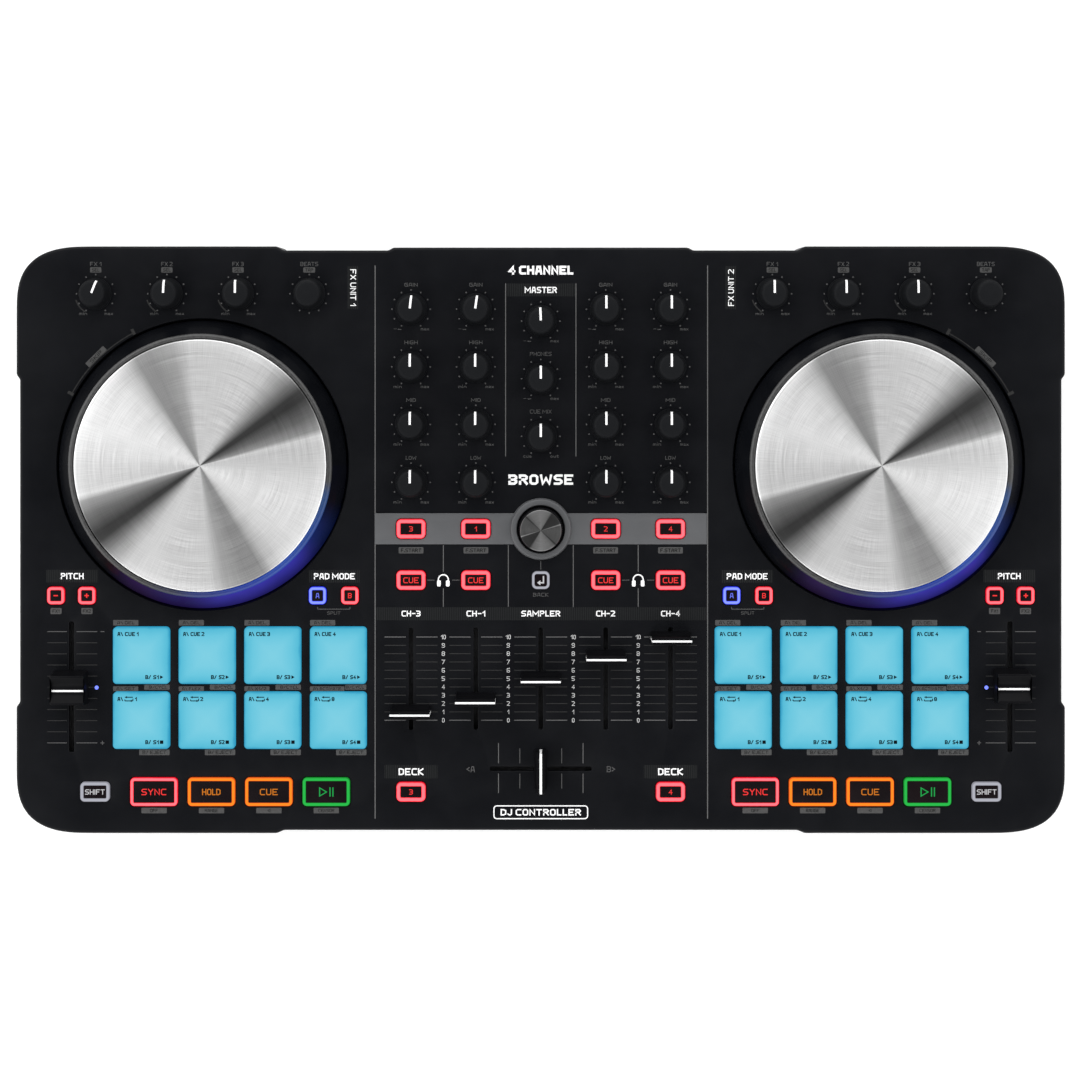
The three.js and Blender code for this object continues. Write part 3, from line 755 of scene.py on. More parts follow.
def striped_plate():
    """The header plates: dark print with fine upright pinstripes."""
    finish = Finish("header_plate", Specular_IOR_Level=0.05)
    x, _, _ = finish.node("SeparateXYZ", {0: finish.place()}).outputs
    stripe = finish.maths("FRACT", finish.maths("DIVIDE", x, 0.95 * MM))
    edge = finish.maths("PINGPONG", stripe, 0.5)
    share = finish.span(edge, 0, 1, 0.2, 0.3)
    finish.set("Base Color", finish.mix(share, ink(15, 16, 17), ink(31, 32, 33)))
    finish.set("Roughness", finish.span(finish.noise(700), 0.45, 0.6))
    finish.bump(share, 0.01 * MM, 0.5)
    return finish.material


# Painted reflection of a spun disc: brightness painted into its colour by angle; it repeats on the opposite
# side, as spun metal's does.
SPUN_PAINTED_WEDGES = (
    (0, 0.80), (10, 0.74), (14, 0.84), (17, 0.36), (24, 0.16), (33, 0.045), (37, 0.05), (42, 0.20),
    (47, 0.42), (54, 0.70), (62, 0.78), (95, 0.74), (103, 0.44), (114, 0.32), (121, 0.33), (126, 0.62),
    (134, 0.86), (145, 0.97), (158, 1.0), (172, 0.90), (180, 0.80))


def spun_metal(name, painted_wedges, radius, roughness, contrast=1.0, gain=1.0):
    """Spun metal: radial wedges of reflection painted into its colour, rings of tool marks, and a long
    anisotropic gloss.
    """
    finish = Finish(name, Metallic=1.0, Anisotropic=0.75)
    distance, angle = finish.polar()
    half_turn = finish.maths("FRACT", finish.maths("MULTIPLY", angle, 2.0))
    stops = [(degrees / 180, (*[light ** contrast * gain] * 3, 1)) for degrees, light in painted_wedges]
    # Painted reflection: the wedges of light are painted into the base colour by angle.
    painted_reflection = finish.ramp(half_turn, stops)
    place = finish.node("CombineXYZ", {0: distance, 1: angle}).outputs[0]
    rings = finish.noise(1.0, 3, 0.7, finish.product(place, (2600, 9, 1)))
    rays = finish.noise(1.0, 2, 0.6, finish.product(place, (60, 900, 1)))
    marks = finish.maths("ADD", finish.span(rings, -0.10, 0.10), finish.span(rays, -0.07, 0.07))
    finish.set("Base Color", finish.product(painted_reflection, finish.spread(finish.maths("ADD", marks, 1.0))))
    rim = finish.span(distance, 0, 0.06, radius * 0.9, radius)
    finish.set("Roughness", finish.maths("ADD", finish.span(rings, roughness, roughness + 0.1), rim))
    finish.set("Tangent", finish.node("Tangent", direction_type="RADIAL", axis="Z").outputs[0])
    finish.bump(rings, 0.006 * MM, 0.35)
    return finish.material


# The same painted reflection for the darker face of the browse encoder.
BROWSE_PAINTED_WEDGES = (
    (0, 0.13), (14, 0.11), (17, 0.38), (20, 0.055), (56, 0.045), (63, 0.2), (90, 0.28),
    (120, 0.22), (132, 0.16), (137, 0.04), (142, 0.11), (180, 0.13))

# Blue light painted as emission on the platter's skirt and on the rim, by angle from the
# right, counterclockwise.
SKIRT_PAINTED_GLOW = (
    (226, (0, 0, 0)), (243, (0.020, 0.006, 0.050)), (262, (0.018, 0.006, 0.100)),
    (284, (0.030, 0.022, 0.27)), (312, (0.026, 0.022, 0.27)), (330, (0.004, 0.012, 0.085)),
    (346, (0, 0, 0.002)))
RIM_PAINTED_GLOW = (
    (243, (0, 0, 0)), (256, (0.0, 0.004, 0.03)), (270, (0.005, 0.02, 0.16)), (290, (0.0, 0.026, 0.28)),
    (310, (0.004, 0.05, 0.33)), (330, (0.0, 0.04, 0.235)), (345, (0.004, 0.045, 0.17)), (354, (0, 0, 0)))
# Painted shade on the rim: how much of its own grey shows at each angle, darker at the front.
RIM_PAINTED_SHADE = [(angle, (share, share, share)) for angle, share in (
    (240, 1), (256, 0.6), (268, 0.25), (345, 0.25), (354, 1))]


def glow_ramp(finish, angle, stops):
    """Colour by angle, through (degrees, colour) stops."""
    return finish.ramp(angle, [(degrees / 360, (*colour, 1)) for degrees, colour in stops], "EASE")


def platter_gloss():
    """The platter's glossy skirt, with blue light painted on as emission along the front of the wheel."""
    finish = Finish("jog_plastic", Specular_IOR_Level=0.035)
    mottling = finish.noise(90, 3)
    finish.set("Base Color", finish.mix(finish.span(mottling, 0, 1), ink(7, 8, 11), ink(11, 12, 15)))
    finish.set("Roughness", finish.span(finish.noise(40, 4), 0.24, 0.34))
    distance, angle = finish.polar()
    # Blue light painted as emission by angle: one ramp for the skirt, one for the rim.
    skirt = glow_ramp(finish, angle, SKIRT_PAINTED_GLOW)
    rim = glow_ramp(finish, angle, RIM_PAINTED_GLOW)
    on_rim = finish.span(distance, 1, 0, 67.7 * MM, 68.1 * MM)
    outward = finish.span(distance, 1.15, 0.35, 68 * MM, 75 * MM)
    patchy_painted_glow = finish.maths("MULTIPLY", finish.span(finish.noise(36, 3), 0.75, 1.2), outward)
    finish.emit(finish.product(finish.mix(on_rim, skirt, rim), finish.spread(patchy_painted_glow)))
    finish.bump(finish.noise(1500, 2), 0.004 * MM, 0.3)
    return finish.material


def rim_satin():
    """The satin bevel between the spun disc and the skirt, with painted shade in its grey and blue light
    painted on as emission at the front.
    """
    finish = Finish("jog_rim", Specular_IOR_Level=0.5)
    brush = finish.noise(700, 3)
    _, angle = finish.polar()
    satin = finish.mix(finish.span(brush, 0, 1), grey(44), grey(58))
    # Painted shade: the grey is darkened by angle towards the front.
    finish.set("Base Color", finish.product(satin, glow_ramp(finish, angle, RIM_PAINTED_SHADE)))
    finish.set("Roughness", finish.span(brush, 0.3, 0.42))
    # Blue light painted on as emission at the front.
    finish.emit(glow_ramp(finish, angle, RIM_PAINTED_GLOW))
    finish.bump(brush, 0.004 * MM, 0.3)
    return finish.material


def pad_light():
    """A pad's silicone lit from below: brightest in its middle, bluer towards its edges."""
    finish = Finish("lit_pad", Base_Color=(0.01, 0.03, 0.035, 1), Specular_IOR_Level=0.1)
    cloud = finish.span(finish.noise(90, 3), -0.03, 0.03)
    share = finish.maths("ADD", finish.glow(), cloud)
    stops = [(0, ink(128, 210, 230)), (0.4, ink(121, 207, 229)), (0.72, ink(104, 200, 225)),
             (0.93, ink(80, 188, 217)), (1, ink(46, 160, 200))]
    finish.emit(finish.ramp(share, stops), 0.9)
    finish.set("Roughness", finish.span(finish.noise(300), 0.5, 0.65))
    finish.bump(finish.noise(3200, 2), 0.01 * MM, 0.5)
    return finish.material


def board_mask():
    """The circuit board: green mask with tracks below, black and grey components above."""
    finish = Finish("circuit_board", Specular_IOR_Level=0.5)
    _, _, z = finish.node("SeparateXYZ", {0: finish.place()}).outputs
    bricks = finish.node("TexBrick", {
        "Vector": finish.place(), "Scale": 90.0, "Mortar Size": 0.03,
        "Color1": ink(18, 74, 44), "Color2": ink(22, 84, 50), "Mortar": ink(46, 118, 70)})
    above = finish.span(z, 0, 1, 26.6 * MM, 26.8 * MM)
    body = finish.mix(finish.span(finish.noise(300), 0, 1), ink(22, 22, 24), ink(44, 44, 47))
    finish.set("Base Color", finish.mix(above, bricks.outputs["Color"], body))
    finish.set("Roughness", finish.span(finish.noise(200), 0.4, 0.6))
    finish.bump(bricks.outputs["Fac"], 0.02 * MM, 0.5)
    return finish.material


HEADER_PLATE = striped_plate()
SPUN_ALUMINIUM = spun_metal("spun_aluminium", SPUN_PAINTED_WEDGES, DISC_RADIUS, 0.34, contrast=0.93, gain=0.95)
BROWSE_METAL = spun_metal("browse_metal", BROWSE_PAINTED_WEDGES, 11 * MM, 0.3)
PLATTER_GLOSS = platter_gloss()
RIM_SATIN = rim_satin()
PAD_LIGHT = pad_light()

# ---------- the case ----------


def key_corner(node):
    """Corner radius of the keys of a mat."""
    if node.endswith("pad_mat"):
        return 1.9 * MM
    return 2.3 * MM if node.endswith(("transport_keys", "pitch_keys", "mode_keys")) else 2.6 * MM


def key_openings(on_trim):
    """Plans of the openings round the keys, either those in the browse strip or the others."""
    plans = []
    margin = 2 * KEY_CLEARANCE
    for node in KEY_MATS:
        corner = key_corner(node) + KEY_CLEARANCE
        for x, y, width, depth in PLANS[node]:
            inside = node == "mixer_keys" and y > TRIM_LOW.y and abs(x) > BEZEL_REACH
            if inside == on_trim:
                plans.append(box_plan(x, y, width + margin, depth + margin, corner))
    return plans


SLOT_MARGIN = 8 * MM  # length of a slot beyond the travel of its stem


def slot_plans():
    """Plans of the slots that the fader stems run in."""
    plans = []
    for name in FADERS + PITCHES + ["crossfader"]:
        start, end = travel(f"{name}_slide", f"{name}_cap")
        middle = (start + end) / 2
        reach = (end - start).length + SLOT_MARGIN
        width = 2.6 * MM if name in PITCHES else 2.3 * MM
        size = (reach, width) if name == "crossfader" else (width, reach)
        plans.append(box_plan(middle.x, middle.y, *size, 0.9 * MM, 3))
    return plans


def shaft_plans():
    """Plans of the holes for the shafts of the knobs."""
    return [round_plan(*spot(f"{name}_knob").xy, SHAFT_HOLE, 20) for name in POTS + ENDLESS]


def opening(skin, plan, top, foot, lip=LIP):
    """Loops of a lipped opening through the panel, from its top to its foot."""
    loops = skin.stack(plan, [*((inset, top - drop) for inset, drop in edge_round(lip, 3)), (0, foot)])
    skin.walls(loops)
    return loops[0], loops[-1]


def jog_well(skin, x, y, underside):
    """The well of a jog wheel: wall, floor, the bush that the spindle turns in, and its outside."""
    radius = JOG_RADIUS + WELL_CLEARANCE
    well = round_plan(x, y, radius, 144)
    bush, bore = SPINDLE + 4 * MM - radius, SPINDLE + 0.4 * MM - radius
    bush_top, bush_foot, outside = WELL_FLOOR + 5.6 * MM, WELL_FLOOR - 3.5 * MM, WELL_FLOOR - 2 * MM
    steps = [(inset, PANEL - drop) for inset, drop in edge_round(0.8 * MM)]
    steps += [(0, WELL_FLOOR), (bush, WELL_FLOOR), (bush, bush_top), (bore, bush_top), (bore, bush_foot),
              (bush, bush_foot), (bush, outside), (SKIN, outside), (SKIN, underside)]
    loops = skin.stack(well, steps)
    skin.walls(loops)
    return loops[0], loops[-1]


def top_cover():
    """The upper shell: panel with every opening, rounded edge, walls and a lip at the parting."""
    skin = Skin()
    outline, cavity = free_plan(case_outline()), free_plan(cavity_outline())
    underside, pocket_floor = PANEL - SKIN, PANEL - 1 * MM
    steps = [(-inset, PANEL - drop) for inset, drop in edge_round(EDGE_ROUND, 6)]
    steps += [(0, PARTING_TOP + PARTING_ROUND), (-PARTING_ROUND, PARTING_TOP)]
    outer = skin.stack(outline, steps)
    skin.walls(outer)
    step, lip = 1.1 * MM, PARTING_TOP + 2.2 * MM
    rim = skin.stack(cavity, [(step, PARTING_TOP), (step, lip), (0, lip), (0, underside)])
    skin.walls(rim)
    skin.cap(outer[-1], [rim[0]])
    tops, feet = [], []
    for plan in key_openings(False) + slot_plans() + shaft_plans():
        top, foot = opening(skin, plan, PANEL, underside)
        tops.append(top)
        feet.append(foot)
    for side, _ in SIDES:
        top, foot = jog_well(skin, *spot(f"{side}_jog_disc").xy, underside)
        tops.append(top)
        feet.append(foot)
    trim = free_plan(trim_outline())
    pocket = skin.stack(trim, [(0.25 * MM, PANEL), (0.25 * MM, pocket_floor)])
    skin.walls(pocket)
    inner = []
    for plan in key_openings(True) + [round_plan(BROWSE.x, BROWSE.y, SHAFT_HOLE, 20)]:
        top, foot = opening(skin, plan, pocket_floor, underside, 0.2 * MM)
        inner.append(top)
        feet.append(foot)
    skin.cap(outer[0], [*tops, pocket[0]])
    skin.cap(pocket[1], inner)
    skin.cap(rim[-1], feet)
    skin.piece("panel_shell", PANEL_BLACK, "case", "case_plastic", ["top_cover"])


def cutter(plan, low, high, place=None):
    """A closed block that is only used to cut another solid."""
    skin = Skin(place)
    skin.block(plan, low, high)
    item = bpy.data.objects.new("cutter", skin.mesh("cutter"))
    scene.collection.objects.link(item)
    return item


def cut(mesh, cutters):
    """The mesh with other solids cut out of it."""
    item = bpy.data.objects.new("blank", mesh)
    scene.collection.objects.link(item)
    for tool in cutters:
        step = item.modifiers.new("cut", "BOOLEAN")
        step.operation, step.solver, step.object = "DIFFERENCE", "EXACT", tool
    graph = bpy.context.evaluated_depsgraph_get()
    made = bpy.data.meshes.new_from_object(item.evaluated_get(graph))
    for used in [item, *cutters]:
        bpy.data.objects.remove(used)
    made.set_sharp_from_angle(angle=SHARP_ANGLE)
    return made


SCREWS = ((257, 134), (150, 143), (263.4, 0), (257, -134), (90, -143.5))  # millimetres, and mirrored
SCREW_SPOTS = [(sign * x * MM, y * MM) for x, y in SCREWS for _, sign in SIDES]


def window(low, high, z_low, z_high, near, far):
    """The cutter of a window, as wide as a box with a little room, from one depth to another."""
    place = facing(0, near, 0, front=True)
    width = high.x - low.x + 0.6 * MM
    plan = box_plan((low.x + high.x) / 2, (z_low + z_high) / 2, width, z_high - z_low, 1.2 * MM)
    return cutter(plan, 0, near - far, place)


def bottom_case():
    """The lower shell with its windows for the sockets and the recesses of its screws."""
    skin = Skin()
    outline, cavity = free_plan(case_outline()), free_plan(cavity_outline())
    inside = CASE_BOTTOM + SKIN
    step = 0.9 * MM
    lip = PARTING_LOW + 2 * MM
    inner = skin.stack(cavity, [(0, inside), (0, lip), (step, lip), (step, PARTING_LOW)])
    steps = [(-PARTING_ROUND, PARTING_LOW), (0, PARTING_LOW - PARTING_ROUND)]
    steps += [(-inset, CASE_BOTTOM + rise) for inset, rise in reversed(edge_round(EDGE_ROUND, 6))]
    outer = skin.stack(outline, steps)
    skin.walls(inner)
    skin.walls(outer)
    skin.cap(inner[0], [])
    skin.cap(outer[0], [inner[-1]])
    skin.cap(outer[-1], [])
    rear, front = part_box("rear_jack_panel"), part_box("headphone_sockets")
    gap = 0.3 * MM
    tools = [
        window(*rear, inside, PARTING_LOW + 8 * MM, HALF_DEPTH + 9 * MM, HALF_DEPTH - 6 * MM),
        window(*front, front[0].z - gap, front[1].z + gap, -HALF_DEPTH + 5 * MM, -HALF_DEPTH - 9 * MM)]
    for x, y in SCREW_SPOTS:
        tools.append(cutter(round_plan(x, y, 2.6 * MM, 24), CASE_BOTTOM - 2 * MM, CASE_BOTTOM + 2 * MM))
    mesh = cut(skin.mesh("base_shell"), tools)
    piece("base_shell", mesh, BASE_BLACK, "case", "base_plastic", ["bottom_case"])


def screws():
    """Screw heads with a six-lobed recess, sunk in the case floor."""
    skin = Skin()
    for x, y in SCREW_SPOTS:
        head = round_plan(x, y, 2.35 * MM, 24)

        def lobes(grow=0.0, x=x, y=y):
            angles = [2 * math.pi * k / 24 for k in range(24)]
            radii = [0.85 * MM + 0.16 * MM * math.cos(6 * a) + grow for a in angles]
            return [(x + r * math.cos(a), y + r * math.sin(a)) for r, a in zip(radii, angles)]

        face, back = CASE_BOTTOM + 0.7 * MM, CASE_BOTTOM + 1.9 * MM
        loops = [skin.loop(head(-0.1 * MM), back), skin.loop(head(), face + 0.4 * MM),
                 skin.loop(head(-0.5 * MM), face), skin.loop(lobes(), face),
                 skin.loop(lobes(-0.1 * MM), face + 0.8 * MM)]
        skin.closed(loops)
    skin.piece("case_screws", ZINC, "case", "plated_steel")


def feet():
    """Rubber feet with a rounded rim and a grooved sole."""
    for end in ("front", "rear"):
        for side, _ in SIDES:
            node = f"foot_{end}_{side}"
            low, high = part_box(node)
            radius, height = (high.x - low.x) / 2, high.z - low.z
            profile = softened([
                (0, 0.5 * MM), (4 * MM, 0.5 * MM, 0.2 * MM), (4.4 * MM, 0), (radius - 2.2 * MM, 0),
                (radius - 1.9 * MM, 0.5 * MM), (radius - 1.5 * MM, 0.5 * MM), (radius - 1.2 * MM, 0),
                (radius - 0.3 * MM, 0, 0.8 * MM), (radius, height), (0, height)])
            skin = Skin()
            skin.turned(profile, 48)
            skin.piece(f"{node}_pad", RUBBER, "case", "foot_rubber", [node], (*spot(node).xy, 0))


def browse_trim():
    """The grey strip and, on it, the raised round bezel of the browse encoder."""
    skin = Skin()
    plan = free_plan(trim_outline())
    top, foot = PANEL + 0.2 * MM, TRIM_LOW.z
    steps = [(-inset, top - drop) for inset, drop in edge_round(0.2 * MM, 3)]
    outer = skin.stack(plan, [*steps, (0, foot)])
    skin.walls(outer)
    tops, feet_loops = [], []
    dish = round_plan(BROWSE.x, BROWSE.y, 12.6 * MM, 72)
    for hole in key_openings(True) + [dish]:
        first, last = opening(skin, hole, top, foot, 0.25 * MM)
        tops.append(first)
        feet_loops.append(last)
    skin.cap(outer[0], tops)
    skin.cap(outer[-1], feet_loops)
    skin.piece("browse_strip", TRIM_GREY, "case", "grey_trim", ["browse_trim"])
    bezel = Skin()
    middle = (BROWSE.x, BROWSE.y, 0)
    outside, inside, seat = TRIM_HIGH.y - BROWSE.y, 12.5 * MM, top - 0.1 * MM
    bezel.turned(softened([
        (inside, foot), (inside, TRIM_HIGH.z, 0.5 * MM),
        (outside - 0.5 * MM, TRIM_HIGH.z - 0.3 * MM, 0.9 * MM), (outside - 0.1 * MM, seat),
        (outside - 0.4 * MM, seat), (outside - 0.4 * MM, foot)]), 96)
    bezel.piece("browse_bezel", TRIM_GREY, "case", "grey_trim", (), middle)
    well = Skin()
    well.turned([(inside, foot), (inside, foot + 0.5 * MM), (SHAFT_HOLE, foot + 0.5 * MM),
                 (SHAFT_HOLE, foot + 0.3 * MM)], 72)
    well.piece("browse_well", CAP_BLACK, "case", "cap_plastic", (), middle)


# ---------- sockets ----------

SOCKET_Z = 15.5 * MM
SHROUD_WALL = 10 * MM  # depth of the shroud from its mouth to its back wall
JACKS = (-95, 15, 36)  # places along the rear in millimetres
PHONO = (-58, -44, -24, -10, 57, 71)
EARTH_POST, USB_PORT, POWER_INLET = -74, 88, 108


def cup(skin, place, outer, bore, depth, proud):
    """A socket barrel with a deep bore, standing proud of its wall by a rounded collar."""
    skin.place = place
    skin.turned(softened([
        (0, -depth - MM), (outer, -depth - MM), (outer, proud, 0.5 * MM), (bore + 0.6 * MM, proud, 0.2 * MM),
        (bore, proud - 0.6 * MM), (bore, -depth), (0, -depth)]), 40)


def tray(skin, shell, mouth, rise, back, holes):
    """A shroud open at its mouth, with holes through its back wall; local Z points outward."""
    steps = [(-inset, rise - drop) for inset, drop in reversed(edge_round(0.5 * MM))]
    outer = skin.stack(shell, [(0, -back), *steps])
    inner = skin.stack(mouth, [(0.4 * MM, rise), (0, rise - 0.4 * MM), (0, 0)])
    skin.walls(outer + inner)
    tops = [skin.loop(plan(), 0) for plan in holes]
    feet = [skin.loop(plan(), -back) for plan in holes]
    for top, foot in zip(tops, feet):
        skin.wall(top, foot)
    skin.cap(inner[-1], tops)
    skin.cap(outer[0], feet)


def rear_place(x, wall):
    """A place on the wall of the rear recess, x millimetres from the middle."""
    return facing(x * MM, wall, SOCKET_Z, front=False)


def rear_shroud(low, high, wall):
    """The recess with the rear sockets and a hole for each of them."""
    width = 2 * high.x
    shell = box_plan(0, SOCKET_Z - (low.z + high.z) / 2, width, high.z - low.z, 1.2 * MM)
    mouth = box_plan(0, 0, width - 4 * MM, 13 * MM, 1.4 * MM)
    holes = [round_plan(x * MM, 0, 5.4 * MM, 40) for x in JACKS]
    holes += [round_plan(x * MM, 0, 5.2 * MM, 40) for x in PHONO + (POWER_INLET,)]
    holes.append(round_plan(EARTH_POST * MM, 0, 2.6 * MM, 24))
    holes.append(box_plan(USB_PORT * MM, 0, 9.2 * MM, 8.6 * MM, 0.5 * MM))
    skin = Skin(rear_place(0, wall))
    tray(skin, shell, mouth, SHROUD_WALL, 1.6 * MM, holes)
    skin.piece("rear_shroud", SOCKET_BLACK, "case", "socket_plastic", ["rear_jack_panel"])


def phono_sockets(wall):
    """Phono sockets: a plated sleeve on a flange round a white or red insert with its contact."""
    sleeves, contacts = Skin(), Skin()
    inserts = [Skin(), Skin()]
    for k, x in enumerate(PHONO):
        place = rear_place(x, wall)
        sleeves.place = place
        sleeves.turned(softened(in_mm(
            (3.45, -2), (5.15, -2), (5.15, 1.1, 0.3), (4.15, 1.2), (4.15, 8.5, 0.25),
            (3.45, 8.5, 0.15))), 40)
        cup(inserts[k % 2], place, 3.4 * MM, 1.75 * MM, 7 * MM, 7.6 * MM)
        contacts.place = place
        contacts.turned(in_mm((1.35, -6.9), (1.7, -6.9), (1.7, 6.6), (1.35, 6.6)), 24)
    sleeves.piece("phono_sleeves", CHROME, "case", "plated_steel")
    inserts[0].piece("phono_inserts_left", WHITE_PLASTIC, "case", "socket_plastic")
    inserts[1].piece("phono_inserts_right", RED_PLASTIC, "case", "socket_plastic")
    contacts.piece("phono_contacts", BRASS, "case", "plated_steel")


def jack_sockets(wall):
    """Large jack sockets with black collars and a plated ring, and the low-voltage inlet."""
    barrels, rings = Skin(), Skin()
    for x in JACKS:
        cup(barrels, rear_place(x, wall), 5.35 * MM, 3.3 * MM, 12 * MM, 2.5 * MM)
        rings.place = rear_place(x, wall)
        rings.turned(softened(in_mm((3.35, 2.3), (4.3, 2.3), (4.3, 2.9, 0.2), (3.35, 2.9, 0.2))), 40)
    inlet = rear_place(POWER_INLET, wall)
    cup(barrels, inlet, 5.15 * MM, 3.1 * MM, 9 * MM, 0.4 * MM)
    rings.place = inlet
    rings.turned(softened(in_mm((0, -9.5), (1, -9.5), (1, -0.6, 0.4), (0, -0.6))), 20)
    barrels.piece("jack_barrels", CAP_BLACK, "case", "socket_plastic")
    rings.piece("jack_rings", CHROME, "case", "plated_steel")


def usb_socket(wall):
    """The square USB socket: a folded steel shell round a plastic tongue."""
    shell = box_plan(0, 0, 9.1 * MM, 8.5 * MM, 0.5 * MM)
    skin = Skin(rear_place(USB_PORT, wall))
    skin.closed(skin.stack(shell, in_mm((0, -10), (0, 0.5), (-0.4, 0.5), (-0.4, -9.6))))
    skin.piece("usb_shell", CHROME, "case", "plated_steel")
    tongue = Skin(rear_place(USB_PORT, wall))
    tongue.block(box_plan(0, 0, 5.6 * MM, 3.2 * MM, 0.4 * MM), -9.6 * MM, -1 * MM, 0.3 * MM)
    tongue.piece("usb_tongue", WHITE_PLASTIC, "case", "socket_plastic")


def earth_post(wall):
    """The knurled thumb nut of the earth post, on its threaded stud."""
    skin = Skin(rear_place(EARTH_POST, wall))
    knurled = toothed_plan(2.55 * MM, 0.16 * MM, 24)
    skin.block(knurled, 1 * MM, 5.4 * MM, 0.4 * MM, 0.4 * MM)
    skin.turned(softened(in_mm((0, -3), (1.5, -3), (1.5, 7, 0.5), (0, 7))), 24)
    skin.piece("earth_post", CHROME, "case", "plated_steel")


def rear_sockets():
    """The recess at the rear and every socket in it."""
    low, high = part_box("rear_jack_panel")
    wall = high.y - SHROUD_WALL
    rear_shroud(low, high, wall)
    phono_sockets(wall)
    jack_sockets(wall)
    usb_socket(wall)
    earth_post(wall)


def front_sockets():
    """The headphone block behind the front edge, with a large and a small jack socket."""
    low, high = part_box("headphone_sockets")
    middle = (low + high) / 2
    depth = high.y - low.y
    place = facing(middle.x, low.y, middle.z, front=True)
    sockets = ((-6 * MM, 3.3 * MM, 4.6 * MM), (7 * MM, 1.8 * MM, 2.9 * MM))
    skin = Skin(place)
    face = box_plan(0, 0, high.x - low.x, high.z - low.z, 1.4 * MM)
    steps = [(-inset, -drop) for inset, drop in reversed(edge_round(0.6 * MM))]
    loops = skin.stack(face, [(0, -depth), *steps])
    skin.walls(loops)
    tops, feet_loops = [], []
    for x, _, collar in sockets:
        hole = round_plan(x, 0, collar, 40)
        tops.append(skin.loop(hole(), 0))
        feet_loops.append(skin.loop(hole(), -depth))
        skin.wall(tops[-1], feet_loops[-1])
    skin.cap(loops[-1], tops)
    skin.cap(loops[0], feet_loops)
    skin.piece("headphone_block", SOCKET_BLACK, "case", "socket_plastic", ["headphone_sockets"])
    barrels = Skin()
    for x, bore, collar in sockets:
        at = place @ Matrix.Translation((x, 0, 0))
        cup(barrels, at, collar - 0.05 * MM, bore, depth - 3 * MM, 0.3 * MM)
    barrels.piece("headphone_barrels", CAP_BLACK, "case", "socket_plastic")


# ---------- jog wheels and knobs ----------


def jog_wheel(side):
    """One jog wheel: glossy platter on its spindle, satin rim and spun aluminium disc."""
    body = f"{side}_jog"
    x, y, _ = spot(f"{side}_jog_disc")
    foot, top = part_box(f"{side}_jog_platter")[0].z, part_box(f"{side}_jog_platter")[1].z
    seat = JOG_TOP - 2.3 * MM
    skirt = foot + 4 * MM
    platter = Skin()
    platter.turned(softened([
        (0, foot), (SPINDLE, foot, 0.4 * MM), (SPINDLE, seat - 4 * MM), (58 * MM, seat - 4 * MM),
        (JOG_RADIUS - 2.4 * MM, skirt), (JOG_RADIUS, skirt), (JOG_RADIUS, skirt + 8.1 * MM, 3 * MM),
        (JOG_RADIUS - 2 * MM, skirt + 13.4 * MM, 3 * MM), (JOG_RADIUS - 6.9 * MM, seat + 0.9 * MM),
        (DISC_RADIUS + 0.3 * MM, seat + 0.9 * MM), (DISC_RADIUS + 0.3 * MM, seat), (0, seat)], 6), 180)
    platter.piece(f"{side}_platter", PLATTER_GLOSS, body, "jog_plastic", [f"{side}_jog_platter"], (x, y, 0))
    rim = Skin()
    rim.turned(softened([
        (DISC_RADIUS + 0.35 * MM, seat + 0.5 * MM), (DISC_RADIUS + 0.35 * MM, top, 0.3 * MM),
        (JOG_RADIUS - 7.6 * MM, top - 0.1 * MM, 0.5 * MM), (JOG_RADIUS - 6.8 * MM, seat + 1.2 * MM, 0.3 * MM),
        (JOG_RADIUS - 6.8 * MM, seat + 0.5 * MM)]), 180)
    rim.piece(f"{side}_jog_rim", RIM_SATIN, body, "jog_plastic", (), (x, y, 0))
    disc, underside = Skin(), JOG_TOP - 2.1 * MM
    disc.turned(softened([
        (0, underside), (DISC_RADIUS, underside), (DISC_RADIUS, JOG_TOP - 0.5 * MM, 0.25 * MM),
        (DISC_RADIUS - 0.6 * MM, JOG_TOP, 0.25 * MM), (0, JOG_TOP)]), 180)
    disc.piece(f"{side}_disc", SPUN_ALUMINIUM, body, "spun_aluminium", [f"{side}_jog_disc"], (x, y, 0))


KNOB_LOW, KNOB_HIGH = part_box("master_knob")
KNOB_RADIUS = (KNOB_HIGH.x - KNOB_LOW.x) / 2
KNOB_FOOT = PANEL + 0.5 * MM


def knob_profile():
    """Outside of a knob, from the rim of its flange up the flank and in to the crown."""
    crown = KNOB_HIGH.z
    return softened([
        (KNOB_RADIUS, KNOB_FOOT, 0.1 * MM), (KNOB_RADIUS, KNOB_FOOT + 1.1 * MM, 0.5 * MM),
        (KNOB_RADIUS - 0.6 * MM, KNOB_FOOT + 1.7 * MM, 0.6 * MM),
        (KNOB_RADIUS - 1.5 * MM, crown - 1.6 * MM, 0.8 * MM),
        (KNOB_RADIUS - 2.6 * MM, crown - 0.25 * MM, 1.2 * MM), (2 * MM, crown, 1.5 * MM), (0, crown)], 6)


def knob_mesh():
    """A hollow knob on the hub that grips its shaft."""
    inner, hub, ceiling = KNOB_RADIUS - 2.2 * MM, 3 * MM, KNOB_FOOT + 9 * MM
    skin = Skin()
    skin.turned([(0, KNOB_LOW.z), (hub, KNOB_LOW.z), (hub, ceiling), (inner, ceiling),
                 (inner + 0.8 * MM, KNOB_FOOT), *knob_profile()], 64)
    return skin.mesh("knob")


def pointer_mesh():
    """The white line inlaid over the crown and down the flank of a knob."""
    path = [point for point in knob_profile() if point[1] > KNOB_FOOT + 2.4 * MM]
    path[-1] = (0.3 * MM, path[-1][1])
    samples = [(Vector((0, r, z)), Vector((0, along.y, -along.x)), 0.55 * MM)
               for (r, z), along in zip(path, directions(path))]
    skin = Skin()
    skin.ribbon(samples, (1, 0, 0), 0.06 * MM)
    return skin.mesh("pointer")


